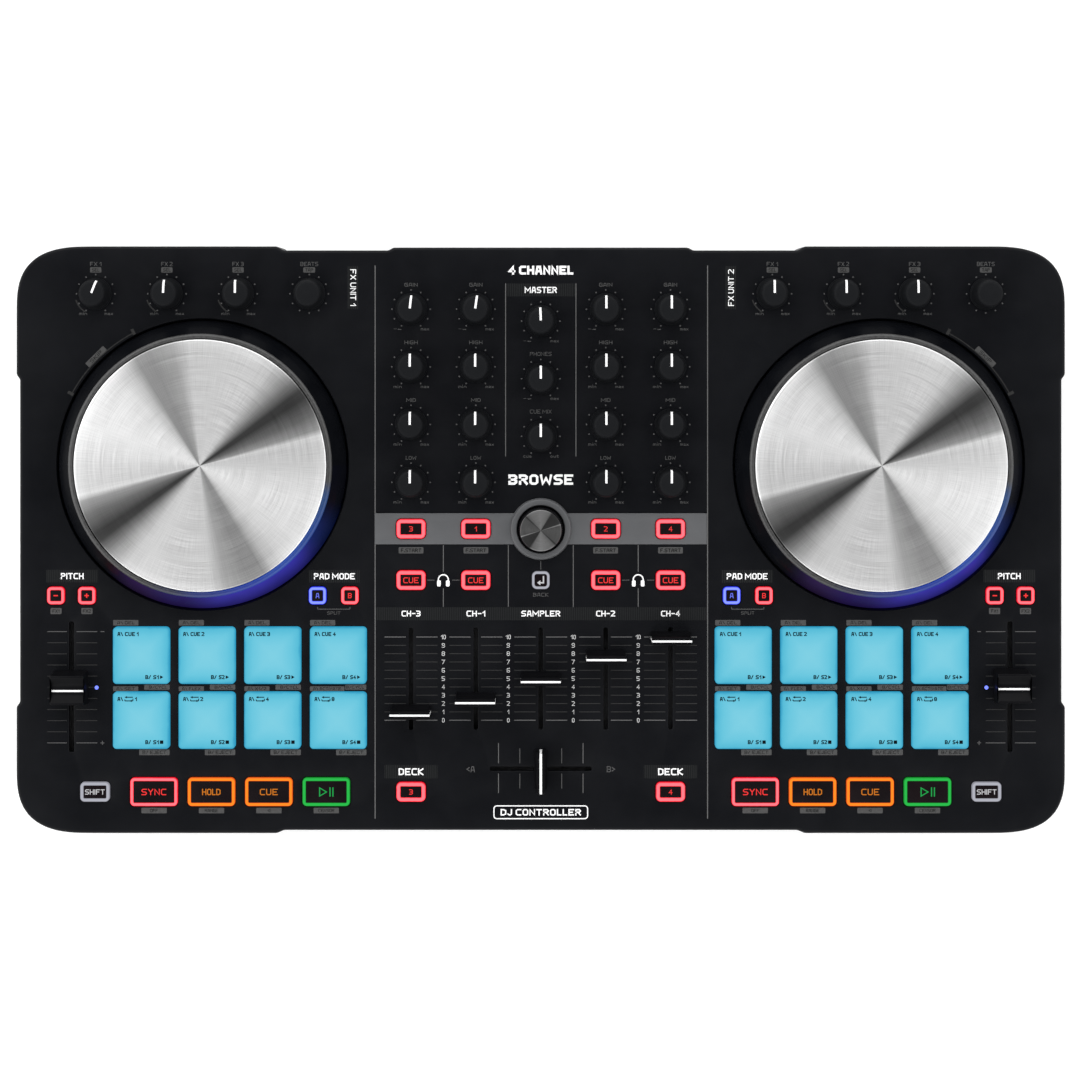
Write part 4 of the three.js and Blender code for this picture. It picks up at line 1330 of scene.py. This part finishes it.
def knobs():
    """Every potentiometer and effect knob; the endless ones have no pointer."""
    body_mesh, pointer = knob_mesh(), pointer_mesh()
    body_mesh.materials.append(SOFT_TOUCH)
    pointer.materials.append(WHITE_PRINT)
    for name in POTS + ENDLESS:
        x, y, _ = spot(f"{name}_knob")
        turn = 0.0 if name in ENDLESS else -rest_turn(f"{name}_turn")
        piece(f"{name}_cap", body_mesh, SOFT_TOUCH, name, "knob_plastic", [f"{name}_knob"], (x, y, 0), turn)
        if name not in ENDLESS:
            piece(f"{name}_pointer", pointer, WHITE_PRINT, name, "white_print", (), (x, y, 0), turn)


def browse_encoder():
    """The browse knob: a finely fluted skirt below a spun, dark metal face."""
    low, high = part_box("browse_knob")
    middle, crown = (BROWSE.x, BROWSE.y, 0), high.z
    radius = (high.x - low.x) / 2
    skin = Skin()
    fluted = toothed_plan(radius, 0.14 * MM, 60)
    skin.closed(skin.stack(fluted, [
        (-0.5 * MM, PANEL), (0, PANEL + 0.5 * MM), (-0.15 * MM, crown - 1.1 * MM),
        (-0.5 * MM, crown - 0.8 * MM)]))
    skin.piece("browse_body", CAP_BLACK, "browse", "browse_metal", ["browse_knob"], middle)
    face, face_radius, shaft = Skin(), radius - 0.65 * MM, 3 * MM
    face.turned(softened([
        (0, crown - MM), (face_radius, crown - MM), (face_radius, crown - 0.3 * MM, 0.15 * MM),
        (radius - 0.9 * MM, crown, 0.15 * MM), (0, crown - 0.1 * MM)]), 120)
    face.turned([(0, low.z), (shaft, low.z), (shaft, PANEL + 0.2 * MM), (0, PANEL + 0.2 * MM)], 24)
    face.piece("browse_face", BROWSE_METAL, "browse", "browse_metal", (), middle)


# ---------- fader caps ----------

STEM_LENGTH = 5 * MM
# Half thickness and height above the panel of the channel fader caps, in millimetres.
FADER_SECTION = (
    (3.3, 0.5), (3.3, 3.4), (2.5, 5.2), (1.95, 7.6), (1.85, 11), (1.9, 15), (2.15, 17), (2.0, 17.7),
    (1.7, 18))
SADDLE_HEIGHT = 12.4
# One half of the pitch cap's section in millimetres, with the rounding of its corners: from the
# outer foot over a ridge to the saddle between the two ridges.
PITCH_SECTION = ((8.7, 0.5), (8.7, 4), (7.5, 15, 0.6), (6.5, 15, 0.8), (2.5, SADDLE_HEIGHT, 1.5))


def end_to_end(length, top, foot, half, corner=0.4 * MM):
    """Ribbon samples of a line along a cap's top, down both ends."""
    end = length / 2
    profile = softened([(end, foot), (end, top, corner), (-end, top, corner), (-end, foot)], 5)
    return [(Vector((x, 0, z)), Vector((along.y, 0, -along.x)), half)
            for (x, z), along in zip(profile, directions(profile))]


def fader_caps():
    """Blade-shaped caps on flat stems, with a white line over the top and down the ends."""
    low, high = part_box("ch3_fader_cap")
    length, crown = high.x - low.x, high.z
    cap = Skin()
    loops = []
    for half, height in FADER_SECTION:
        shrink = 0.4 * MM if height == FADER_SECTION[-1][1] else 0
        plan = box_plan(0, 0, length - shrink, 2 * half * MM, 0.7 * MM, 4)
        loops.append(cap.loop(plan(), PANEL + height * MM))
    cap.closed(loops)
    cap.block(box_plan(0, 0, 1.3 * MM, STEM_LENGTH, 0.3 * MM, 3), low.z, PANEL + 1 * MM)
    mesh = cap.mesh("fader_cap")
    lines = []
    for half in (0.5 * MM, 0.62 * MM):
        skin = Skin()
        skin.ribbon(end_to_end(length, crown, PANEL + 1.4 * MM, half), (0, 1, 0), 0.05 * MM)
        lines.append(skin.mesh("fader_line"))
    for name in FADERS + ["crossfader"]:
        x, y, _ = spot(f"{name}_cap")
        across = name == "crossfader"
        turn = math.pi / 2 if across else 0.0
        piece(f"{name}_blade", mesh, CAP_BLACK, name, "cap_plastic", [f"{name}_cap"], (x, y, 0), turn)
        piece(f"{name}_line", lines[across], WHITE_PRINT, name, "white_print", (), (x, y, 0), turn)


def pitch_caps():
    """Wide saddle-shaped caps with a white line across the bottom of the saddle."""
    low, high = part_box("left_pitch_cap")
    width = high.x - low.x
    near = [(-y * MM, PANEL + z * MM, *in_mm(rounding)[0]) for y, z, *rounding in PITCH_SECTION]
    far = [(-y, *rest) for y, *rest in reversed(near)]
    section = free_plan(list(reversed(softened(near + far))))
    across_travel = Matrix(((0, 0, 1, 0), (1, 0, 0, 0), (0, 1, 0, 0), (0, 0, 0, 1)))
    cap = Skin(across_travel)
    cap.block(section, -width / 2, width / 2, 0.7 * MM, 0.7 * MM)
    cap.place = Matrix.Identity(4)
    cap.block(box_plan(0, 0, 1.6 * MM, STEM_LENGTH, 0.3 * MM, 3), low.z, PANEL + 1 * MM)
    mesh = cap.mesh("pitch_cap")
    line = Skin()
    points = in_mm((-8.15, -0.5, SADDLE_HEIGHT), (8.15, -0.5, SADDLE_HEIGHT))
    samples = [(Vector((x, y, PANEL + z)), Vector((0, 0, 1)), 0.5 * MM) for x, y, z in points]
    line.ribbon(samples, (0, 1, 0), 0.06 * MM)
    line_mesh = line.mesh("pitch_line")
    for name in PITCHES:
        x, y, _ = spot(f"{name}_cap")
        piece(f"{name}_saddle", mesh, CAP_BLACK, name, "cap_plastic", [f"{name}_cap"], (x, y, 0))
        piece(f"{name}_line", line_mesh, WHITE_PRINT, name, "white_print", (), (x, y, 0))


# ---------- keys and pads ----------

WINDOW_TOP = KEY_TOP - 0.3 * MM
RED, ORANGE, GREEN = (RED_LIGHT, RED_MARK), (ORANGE_LIGHT, ORANGE_MARK), (GREEN_LIGHT, GREEN_MARK)
BLUE, PALE = (BLUE_LIGHT, BLUE_MARK), (PALE_LIGHT, PALE_MARK)
# Colour, words, cap height and width of the legend of each key, mat by mat from the rear left to
# the front right. A width of None keeps the letters' own.
CUE_KEY = (RED, "CUE", 3.0, 8.1)
SHIFT_KEY = (PALE, "SHIFT", 2.7, 10.2)
TRANSPORT = [
    (RED, "SYNC", 3.3, 13), (ORANGE, "HOLD", 3.3, 9.6), (ORANGE, "CUE", 3.3, 9.4),
    (GREEN, "play", 0, None)]
KEY_LEGENDS = {
    "mixer_keys": [
        *((RED, digit, 2.7, None) for digit in "3124"), CUE_KEY, CUE_KEY, (PALE, "back", 0, None),
        CUE_KEY, CUE_KEY],
    "deck_keys": [(RED, digit, 2.7, None) for digit in "34"],
    "left_transport_keys": [SHIFT_KEY, *TRANSPORT],
    "right_transport_keys": [*TRANSPORT, SHIFT_KEY]}
for side, _ in SIDES:
    KEY_LEGENDS[f"{side}_pitch_keys"] = [(RED, sign, 3.4, None) for sign in "-+"]
    KEY_LEGENDS[f"{side}_pad_mode_keys"] = [(BLUE, "A", 2.7, None), (RED, "B", 2.7, None)]
WIDE_RING, NARROW_RING = 2.2 * MM, 1.75 * MM
BACK_RING = 1.35 * MM  # ring of the small back key
MAT_BODIES = {"mixer_keys": "mixer_key_set", "deck_keys": "deck_key_pair"}
for side, _ in SIDES:
    for kind, body in (("pad_mat", "pads"), ("transport_keys", "transport"),
                       ("pitch_keys", "pitch_pair"), ("pad_mode_keys", "mode_pair")):
        MAT_BODIES[f"{side}_{kind}"] = f"{side}_{body}"


def mat_web(node):
    """The silicone web under the panel, and the stems of its keys."""
    plans = PLANS[node]
    web_top, stem_top = WEB_LOW + 1.2 * MM, KEY_TOP - 2 * MM
    margin, gap = 3 * MM, 0.6 * MM
    skin = Skin()
    for row in sorted({round(plan[1], 4) for plan in plans}):
        keys = [plan for plan in plans if abs(plan[1] - row) < MM]
        left = min(x - width / 2 for x, _, width, _ in keys)
        right = max(x + width / 2 for x, _, width, _ in keys)
        depth = max(depth for _, _, _, depth in keys)
        plan = box_plan((left + right) / 2, row, right - left + margin, depth + margin, 2 * MM)
        skin.block(plan, WEB_LOW, web_top, 0.2 * MM, 0.2 * MM)
    for x, y, width, depth in plans:
        stem = box_plan(x, y, width - gap, depth - gap, key_corner(node))
        skin.block(stem, web_top - 0.3 * MM, stem_top)
    return skin


def ring(skin, plan, width):
    """A lit ring round a key's window: bright along its middle and deep coloured at its edges."""
    # Share of the width from the outer edge, height in millimetres from the key's top, and glow.
    steps = [(0, -2.3, 1), (0, -0.45, 1), (-0.13, -0.15, 0.85), (-0.34, -0.02, 0.3), (-0.5, 0, 0),
             (-0.68, -0.02, 0.1), (-0.88, -0.12, 0.7), (-1, -0.4, 1), (-1, -2.3, 1)]
    loops = [skin.loop(plan(share * width), KEY_TOP + height * MM, glow) for share, height, glow in steps]
    skin.walls(loops)
    skin.wall(loops[-1], loops[0])


def back_arrow(mark, x, y):
    """The bent arrow of the back key."""
    mark.line(x + 1.4, y + 2.2, x + 1.4, y - 1.6, 0.7)
    mark.line(x + 1.75, y - 1.3, x - 0.4, y - 1.3, 0.7)
    mark.shape(in_mm((x - 1.9, y - 1.3), (x - 0.2, y - 2.6), (x - 0.2, y)))


def play_symbol(mark, x, y):
    """An outlined triangle and two bars."""
    outer = in_mm((x - 3.7, y - 2.6), (x + 0.7, y), (x - 3.7, y + 2.6))
    inner = in_mm((x - 3.1, y - 1.65), (x - 0.35, y), (x - 3.1, y + 1.65))
    mark.band(outer, inner)
    for bar in (2.0, 3.5):
        mark.line(x + bar, y - 2.4, x + bar, y + 2.4, 0.6)


def plus_or_minus(mark, sign, x, y, half, width):
    """A short line, crossed by another for a plus."""
    mark.line(x - half, y, x + half, y, width)
    if sign == "+":
        mark.line(x, y - half, x, y + half, width)


def legend(mark, words, x, y, height, width):
    """A key's symbol or words."""
    if words == "back":
        back_arrow(mark, x, y)
    elif words == "play":
        play_symbol(mark, x, y)
    elif words in "-+":
        plus_or_minus(mark, words, x, y, 1.15, 0.65)
    else:
        mark.text(words, x, y, height, width, bold=0.03)


def key_mat(node):
    """A mat of lit keys: web, rings of light, smoked windows and glowing legends."""
    body = MAT_BODIES[node]
    corner = key_corner(node)
    mat_web(node).piece(f"{node}_web", SILICONE, body, "key_silicone", [node])
    band = WIDE_RING if node in ("mixer_keys", "deck_keys") else NARROW_RING
    windows = Skin()
    rings, marks = {}, {}
    for plan, (look, words, height, text_width) in zip(PLANS[node], KEY_LEGENDS[node]):
        x, y, size_x, size_y = plan
        light, mark = look
        width = BACK_RING if words == "back" else band
        ring(rings.setdefault(light.name, Skin()), box_plan(*plan, corner, 7), width)
        margin = 2 * width + 0.04 * MM
        inner = box_plan(x, y, size_x - margin, size_y - margin, max(corner - width, 0.5 * MM), 7)
        windows.block(inner, KEY_TOP - 2.2 * MM, WINDOW_TOP, 0.12 * MM)
        sheet = marks.setdefault(mark.name, Print(WINDOW_TOP))
        legend(sheet, words, x / MM, y / MM, height, text_width)
    windows.piece(f"{node}_windows", SMOKED, body, "key_silicone")
    for name, skin in rings.items():
        skin.piece(f"{node}_{name}", bpy.data.materials[name], body, name)
    for name, mark in marks.items():
        mark.piece(f"{node}_{name}", bpy.data.materials[name], body, name.replace("mark", "light"))


def pad(skin, x, y, width, depth):
    """One pad: a cushion with a rounded edge, brightest in its middle."""
    corner, edge, steps = 1.9 * MM, 0.8 * MM, 12
    plan = box_plan(x, y, width, depth, corner, 6)
    loops = [skin.loop(plan(), WEB_LOW + 1 * MM, 1), skin.loop(plan(), KEY_TOP - edge, 1)]
    for inset, drop in reversed(edge_round(edge)):
        loops.append(skin.loop(plan(-inset), KEY_TOP - drop, 1 - 0.06 * inset / MM))
    for k in range(1, steps):
        share = 1 - k / steps
        inner = box_plan(x, y, (width - 2 * edge) * share, (depth - 2 * edge) * share,
                         corner * share + 0.05 * MM, 6)
        loops.append(skin.loop(inner(), KEY_TOP, 0.94 * share ** 0.85))
    skin.closed(loops)


def loop_symbol(mark, x, y):
    """The looping arrows before a loop's length."""
    half_x, half_y, width = 2.1, 0.95, 0.48
    for sign in (-1, 1):
        row, tip, back = y + sign * half_y, x - sign * half_x, x - sign * (half_x - 1.1)
        mark.line(x - half_x, row, x + half_x, row, width)
        mark.line(x + sign * half_x, y - half_y, x + sign * half_x, y + 0.2 * sign, width)
        mark.shape(in_mm((tip, row), (back, row + sign * 0.65), (back, row - sign * 0.65)))


def pad_legend(mark, k, x, y, width, depth):
    """The two functions of a pad, at its upper left and its lower right."""
    column, lower = k % 4, k >= 4
    left, right = x - width / 2, x + width / 2
    top, foot = y + depth / 2 - 3.5, y - depth / 2 + 3.6
    height, bold = 2.1, 0.1
    mark.text("A\\", left + 3.9, top, height, 2.9, bold=bold)
    if lower:
        loop_symbol(mark, left + 8.4, top)
        mark.text("1248"[column], left + 12.1, top, height, bold=bold)
    else:
        mark.text(f"CUE {column + 1}", left + 9.9, top, height, 7.2, bold=bold)
    mark.text("B/", right - 11, foot, height, 2.9, bold=bold)
    mark.text(f"S{column + 1}", right - 6.9, foot, height, 3, bold=bold)
    if lower:
        mark.plate(right - 4, foot, 1.8, 1.8, 0.1)
    else:
        mark.shape(in_mm((right - 4.8, foot - 0.95), (right - 3.1, foot), (right - 4.8, foot + 0.95)))


def pad_mat(node):
    """A mat of eight lit pads with their dark legends."""
    body = MAT_BODIES[node]
    mat_web(node).piece(f"{node}_web", SILICONE, body, "pad_silicone", [node])
    pads, mark = Skin(), Print(KEY_TOP)
    for k, plan in enumerate(PLANS[node]):
        pad(pads, *plan)
        pad_legend(mark, k, *(value / MM for value in plan))
    pads.piece(f"{node}_pads", PAD_LIGHT, body, "pad_silicone")
    mark.piece(f"{node}_legends", TEAL_PRINT, body, "grey_print")


def pitch_lamps():
    """The small blue lamp beside each pitch fader."""
    for (side, _), x in zip(SIDES, (-231.1, 231.9)):
        skin = Skin()
        skin.turned(softened(in_mm((0, -1.5), (1, -1.5), (1, 0.2), (0.75, 0.75, 0.4), (0, 0.9))), 24)
        place = (x * MM, -76.8 * MM, PANEL)
        skin.piece(f"{side}_pitch_lamp", BLUE_LIGHT, "case", "blue_light", (), place)


# ---------- printing on the panel; its places are in millimetres ----------

PLATES, STRIPES = Print(PANEL, 0.03 * MM), Print(PANEL, 0.03 * MM)
WHITE, SILVER, PALE_GREY = (Print(PANEL, 0.08 * MM) for _ in range(3))
GREY, DIM, DARK = Print(PANEL, 0.06 * MM), Print(PANEL, 0.05 * MM), Print(PANEL, 0.08 * MM)
LINES_X = 16.9  # dividing lines between the channels
CHANNEL_X = 33.75  # from the middle of one channel to the next
DOTS_RADIUS = 10
STEPS = 11  # marks on every scale


def place_of(node):
    """Centre of a node in millimetres."""
    middle = spot(node)
    return middle.x / MM, middle.y / MM


def dots(x, y, count, whole):
    """The ring of dots round a knob, whole or with a gap at the front."""
    for k in range(count):
        angle = math.radians(90 + (360 * k / count if whole else 30 * (k - (count - 1) / 2)))
        GREY.dot(x + DOTS_RADIUS * math.cos(angle), y + DOTS_RADIUS * math.sin(angle), 0.42)


def ends(x, y, low, high, spread=7.2):
    """The words at the two ends of a knob's scale."""
    GREY.text(low, x - spread + 0.2, y - 10.3, 1.5, 4.3, bold=0.02)
    GREY.text(high, x + spread, y - 10.3, 1.5, 4.4, bold=0.02)


def effect_printing():
    """Names, plates and scales of the effect knobs."""
    names = {"fx1": "FX 1", "fx2": "FX 2", "fx3": "FX 3", "beats": "BEATS"}
    for side, _ in SIDES:
        for kind, words in names.items():
            x, y = place_of(f"{side}_{kind}_knob")
            endless = kind == "beats"
            GREY.text(words, x, y + 15.5, 2.1, 9.3 if endless else 5.9)
            PLATES.plate(x, y + 12.4, 6.2 if endless else 5.9, 2.8, 0.5)
            DARK.text("TAP" if endless else "SEL", x, y + 12.4, 1.7)
            dots(x, y, 12 if endless else STEPS, endless)
            if not endless:
                ends(x, y, "min", "max", 6.8)
                DIM.arc(x, y, 10.8, 197, 240, 0.7)


def header(words, x, y, width, depth, height, text_width):
    """White words on a striped plate."""
    STRIPES.plate(x, y, width, depth, 0.3)
    WHITE.text(words, x, y, height, text_width, bold=0.06)


def label(words, x, y, width, depth, height, text_width=None, corner=0.4, bold=0.0):
    """Dark words on a grey plate."""
    PLATES.plate(x, y, width, depth, corner)
    DARK.text(words, x, y, height, text_width, bold=bold)


def mixer_printing():
    """Names and scales of the knobs in the mixer, its lines and the three large names."""
    for row, width, low in (("gain", 7, "-~"), ("high", 7, "min"), ("mid", 5, "min"), ("low", 5.5, "min")):
        for channel in CHANNELS:
            x, y = place_of(f"{channel}_{row}_knob")
            GREY.text(row.upper(), x, y + 12.7, 1.9, width, bold=0.02)
            dots(x, y, STEPS, False)
            ends(x, y, low, "max")
    for name, words, low, high in (
            ("master", "", "-~", "max"), ("phones", "PHONES", "-~", "max"),
            ("cue_mix", "CUE MIX", "cue", "out")):
        x, y = place_of(f"{name}_knob")
        dots(x, y, STEPS, False)
        ends(x, y, low, high)
        if words:
            GREY.text(words, x, y + 12.9, 2.0, 11.3)
    header("MASTER", 0, 130.1, 35.4, 6.7, 3.2, 16.8)
    for side in (-1, 1):
        PALE_GREY.line(side * 18.3, 133.5, side * 18.3, 43.5, 0.45)
    WHITE.text("4 CHANNEL", 0, 140.4, 4.6, 34, bold=0.12)
    WHITE.text("BROWSE", 0, 31.4, 5.4, 34, bold=0.1)
    title_y = -141.7
    WHITE.text("DJ CONTROLLER", 0, title_y, 3.4, 42, bold=0.07)
    frame_plan = box_plan(0, title_y * MM, 49.3 * MM, 7.2 * MM, 1.8 * MM)
    WHITE.band(frame_plan(), frame_plan(-0.55 * MM))
    for x in (-86.2, 86.8):
        PALE_GREY.line(x, 142.8, x, -145, 0.5)


def around(x, y, radius, angle):
    """The point at an angle in degrees on a circle."""
    turn = math.radians(angle)
    return x + radius * math.cos(turn), y + radius * math.sin(turn)


def unit_printing():
    """Headers of the two effect units, and the arcs behind the jog wheels."""
    for x, words, turn in ((-97.6, "FX UNIT 1", -90), (99, "FX UNIT 2", 90)):
        STRIPES.plate(x, 131.3, 5.8, 22.4, 0.3)
        WHITE.text(words, x, 131.3, 3.0, 19.1, turn, 0.02)
    for side, sign in SIDES:
        x, y = place_of(f"{side}_jog_disc")
        start, end = (117.6, 151.6) if sign < 0 else (28.4, 62.4)
        middle = (start + end) / 2
        turn = middle - 90
        DIM.arc(x, y, 77.4, start, end, 0.5, 30)
        for angle in (start, end):
            DIM.line(*around(x, y, 76.4, angle), *around(x, y, 79.6, angle), 1.6)
        place = around(x, y, 78.9, middle)
        PLATES.plate(*place, 13, 3, 0.4, turn)
        DARK.text("SKIP", *place, 1.9, 8, turn)


def headphones_icon(x, y):
    """A headband and two ear cups."""
    WHITE.arc(x, y + 0.2, 2.6, -18, 198, 0.65)
    for side in (-1, 1):
        WHITE.plate(x + side * 2.3, y - 1.7, 1.9, 3.2, 0.6)


def channel_printing():
    """Printing between the browse strip and the channel headers."""
    for k in (-2, -1, 1, 2):
        label("F.START", k * CHANNEL_X, -5.4, 12.9, 3.3, 1.9, 10.6, 0.5, bold=0.04)
    rear, front, cue_row = -2.6, -34.8, -20.9
    for side in (-1, 1):
        near, far = side * LINES_X, side * 3 * LINES_X
        PALE_GREY.line(near, rear, near, front, 0.4)
        PALE_GREY.line(far, rear, far, -16.6, 0.4)
        PALE_GREY.line(far, -25.2, far, front, 0.4)
        headphones_icon(far, cue_row)
        for reach in (-1, 1):
            GREY.line(far + reach * 4.6, cue_row, far + reach * 8.4, cue_row, 0.35)
    GREY.line(0, -10.8, 0, -15.4, 0.35)
    GREY.text("BACK", 0, -28.5, 1.9, 8)
    STRIPES.plate(0.3, -38.4, 172.4, 6.8, 0.2)
    for k, words in enumerate(("CH-3", "CH-1", "SAMPLER", "CH-2", "CH-4")):
        width = 20.3 if words == "SAMPLER" else 9.9
        WHITE.text(words, (k - 2) * CHANNEL_X, -38.3, 3.05, width, bold=0.06)


def fader_printing():
    """Scales of the channel faders and of the crossfader."""
    rows = [-50.5 - 4.33 * k for k in range(STEPS)]
    for channel in range(-2, 3):
        x = channel * CHANNEL_X
        for y in rows:
            sheet = PALE_GREY if y in (rows[0], rows[-1]) else DIM
            for side in (-1, 1):
                sheet.line(x + side * 2.7, y, x + side * 13.8, y, 0.42)
    for x in (-3 * LINES_X, -LINES_X, LINES_X, 3 * LINES_X):
        for k, y in enumerate(rows):
            SILVER.text(str(STEPS - 1 - k), x, y, 2.3)
    for side in (-1, 1):
        for x, high, low, sheet in ((22, 105.7, 131.7, PALE_GREY), (10.9, 108.5, 129.3, GREY)):
            sheet.line(side * x, -high, side * x, -116.2, 0.42)
            sheet.line(side * x, -121.6, side * x, -low, 0.42)
        GREY.text("<A" if side < 0 else "B>", side * 36.5, -119.3, 3.1)
        header("DECK", side * 2 * CHANNEL_X, -120.6, 27.6, 7.0, 3.6, 13)


def pitch_printing():
    """Headers, key plates and scales of the pitch faders."""
    rows = [-47.7 - 5.79 * k for k in range(STEPS)]
    for side, sign in SIDES:
        slot = sign * 244.2
        header("PITCH", sign * 243.8, -18.8, 26.8, 6.6, 3.2, 11.9)
        for k, (x, *_) in enumerate(PLANS[f"{side}_pitch_keys"]):
            label(f"FX{k + 1}", x / MM, -37, 5.8, 3.2, 1.7, corner=0.5)
        for y in rows:
            sheet = GREY if y in (rows[0], rows[-1]) else DIM
            sheet.line(slot - 12.6, y, slot - 2.4, y, 0.4)
            sheet.line(slot + 2.6, y, slot + 13.4, y, 0.4)
        plus_or_minus(GREY, "-", sign * 228.1, rows[0], 1, 0.4)
        plus_or_minus(GREY, "+", sign * 228.1, rows[-1], 1, 0.4)


def pad_labels(k, left, right):
    """The small plates before and behind one pad, between its left and right edges."""
    if k >= 4:
        label("B/ EJECT", right - 7.9, -110.5, 15.8, 3.0, 1.7, 12.4)
        return
    last = k == 3
    label("A\\ DEL", left + 6.6, -43.1, 13.1, 2.9, 1.6, 9)
    wide = 17.9 if last else 13.1
    words = ("SET", "FLEX", "X1/2", "ACTIVATE")[k]
    label(f"A\\ {words}", left + wide / 2, -77.4, wide, 2.5, 1.5, wide - 3.4)
    PLATES.plate(right - (5.6 if last else 6.6), -76.6, 11 if last else 13.2, 2.7)
    DARK.text("B/CYCL", right - 6, -76.6, 1.5, 9.4)


def pad_printing():
    """Headers of the pad modes, the bracket under their keys, and the plates round the pads."""
    bracket_y = -36
    for side, sign in SIDES:
        header("PAD MODE", sign * 107.4, -18.9, 27, 6.6, 3.2, 21.3)
        near, far = (x / MM for x, *_ in PLANS[f"{side}_pad_mode_keys"])
        GREY.line(near, bracket_y, near, -34.9, 0.35)
        GREY.line(far, bracket_y, far, -34.9, 0.35)
        GREY.line(near, bracket_y, far, bracket_y, 0.35)
        GREY.text("SPLIT", (near + far) / 2, -38, 1.6, 6.9)
        for k, (x, _, width, _) in enumerate(PLANS[f"{side}_pad_mat"]):
            pad_labels(k, (x - width / 2) / MM, (x + width / 2) / MM)


def transport_printing():
    """The plates before the four large keys of each deck."""
    for side, _ in SIDES:
        keys = [plan for plan in PLANS[f"{side}_transport_keys"] if plan[2] > 20 * MM]
        for (x, *_), words in zip(keys, ("OFF", "RANGE", "<|", "CENSOR")):
            label(words, x / MM, -140.8, 13.2, 2.9, 1.7)


def printing():
    """All the printing on the panel, one piece for each ink."""
    effect_printing()
    mixer_printing()
    unit_printing()
    channel_printing()
    fader_printing()
    pitch_printing()
    pad_printing()
    transport_printing()
    inks = (
        ("plates", PLATES, PLATE_PRINT, "grey_print"),
        ("header_plates", STRIPES, HEADER_PLATE, "grey_print"),
        ("white_words", WHITE, WHITE_PRINT, "white_print"),
        ("scale_numbers", SILVER, SILVER_PRINT, "white_print"),
        ("pale_lines", PALE_GREY, PALE_PRINT, "grey_print"),
        ("grey_words", GREY, GREY_PRINT, "grey_print"),
        ("dim_scales", DIM, DIM_PRINT, "grey_print"),
        ("dark_words", DARK, DARK_PRINT, "grey_print"))
    for name, sheet, material, slot in inks:
        sheet.piece(f"printed_{name}", material, "case", slot)


# ---------- carried-over board ----------


def circuit_board():
    """The board keeps its CAD shape and gets its own finish."""
    board = frame["nodes"]["main_board"]
    board.data.materials.clear()
    board.data.materials.append(board_mask())


# ---------- floor, light and camera ----------


def floor():
    """A plain pale floor, lit a little from within so that it stays even."""
    skin = Skin()
    skin.block(box_plan(0, 0, 6, 6, 0.5), -0.02, -0.0002)
    finish = Finish("floor", Roughness=0.9, Specular_IOR_Level=0.1)
    finish.set("Base Color", finish.mix(finish.span(finish.noise(3), 0, 1), grey(226), grey(230)))
    finish.emit((1, 1, 1, 1), 0.3)
    item = bpy.data.objects.new("floor", skin.mesh("floor"))
    item.data.materials.append(finish.material)
    scene.collection.objects.link(item)


# Brightness of the studio by the sine of the elevation: a soft band of light all round the
# object, and a dark ceiling straight above it.
STUDIO = (
    (-1.0, 1.3), (-0.05, 1.3), (0.0, 0.95), (0.25, 1.15), (0.42, 2.35), (0.82, 2.42), (0.91, 0.3),
    (0.95, 0.13), (1.0, 0.12))
STUDIO_PEAK = 2.5


def studio_light():
    """A dome lit as a band of large softboxes, a little brighter towards the rear left."""
    world = bpy.data.worlds.new("studio")
    world.use_nodes = True
    scene.world = world
    tree = world.node_tree
    place = tree.nodes.new("ShaderNodeTexCoord").outputs["Generated"]
    split = tree.nodes.new("ShaderNodeSeparateXYZ")
    tree.links.new(place, split.inputs[0])
    height = tree.nodes.new("ShaderNodeMapRange")
    height.inputs["From Min"].default_value = -1.0
    tree.links.new(split.outputs["Z"], height.inputs["Value"])
    ramp = tree.nodes.new("ShaderNodeValToRGB")
    elements = ramp.color_ramp.elements
    while len(elements) < len(STUDIO):
        elements.new(0.5)
    for element, (sine, _) in zip(elements, STUDIO):
        element.position = (sine + 1) / 2
    for element, (_, light) in zip(elements, STUDIO):
        element.color = (*[light / STUDIO_PEAK] * 3, 1)
    tree.links.new(height.outputs[0], ramp.inputs["Fac"])
    side = tree.nodes.new("ShaderNodeVectorMath")
    side.operation = "DOT_PRODUCT"
    side.inputs[1].default_value = (-0.18, 0.18, 0.0)
    tree.links.new(place, side.inputs[0])
    gain = tree.nodes.new("ShaderNodeMath")
    gain.operation = "MULTIPLY_ADD"
    tree.links.new(side.outputs["Value"], gain.inputs[0])
    gain.inputs[1].default_value = STUDIO_PEAK
    gain.inputs[2].default_value = STUDIO_PEAK
    background = tree.nodes["Background"]
    tree.links.new(ramp.outputs["Color"], background.inputs["Color"])
    tree.links.new(gain.outputs[0], background.inputs["Strength"])


def camera():
    """Straight down on the controller, with the lens shifted to centre it."""
    data = bpy.data.cameras.new("camera")
    data.lens = 91.6
    data.sensor_width = 36.0
    data.shift_y = -0.194
    data.clip_end = 50.0
    item = bpy.data.objects.new("camera", data)
    item.location = (-0.0004, 0.109, 1.471)
    scene.collection.objects.link(item)
    scene.camera = item


# ---------- everything together ----------

top_cover()
bottom_case()
screws()
feet()
browse_trim()
rear_sockets()
front_sockets()
for side, _ in SIDES:
    jog_wheel(side)
    pad_mat(f"{side}_pad_mat")
knobs()
browse_encoder()
fader_caps()
pitch_caps()
for node in KEY_MATS:
    if node in KEY_LEGENDS:
        key_mat(node)
pitch_lamps()
printing()
circuit_board()
floor()
studio_light()
camera()
scene.view_settings.view_transform = "Standard"
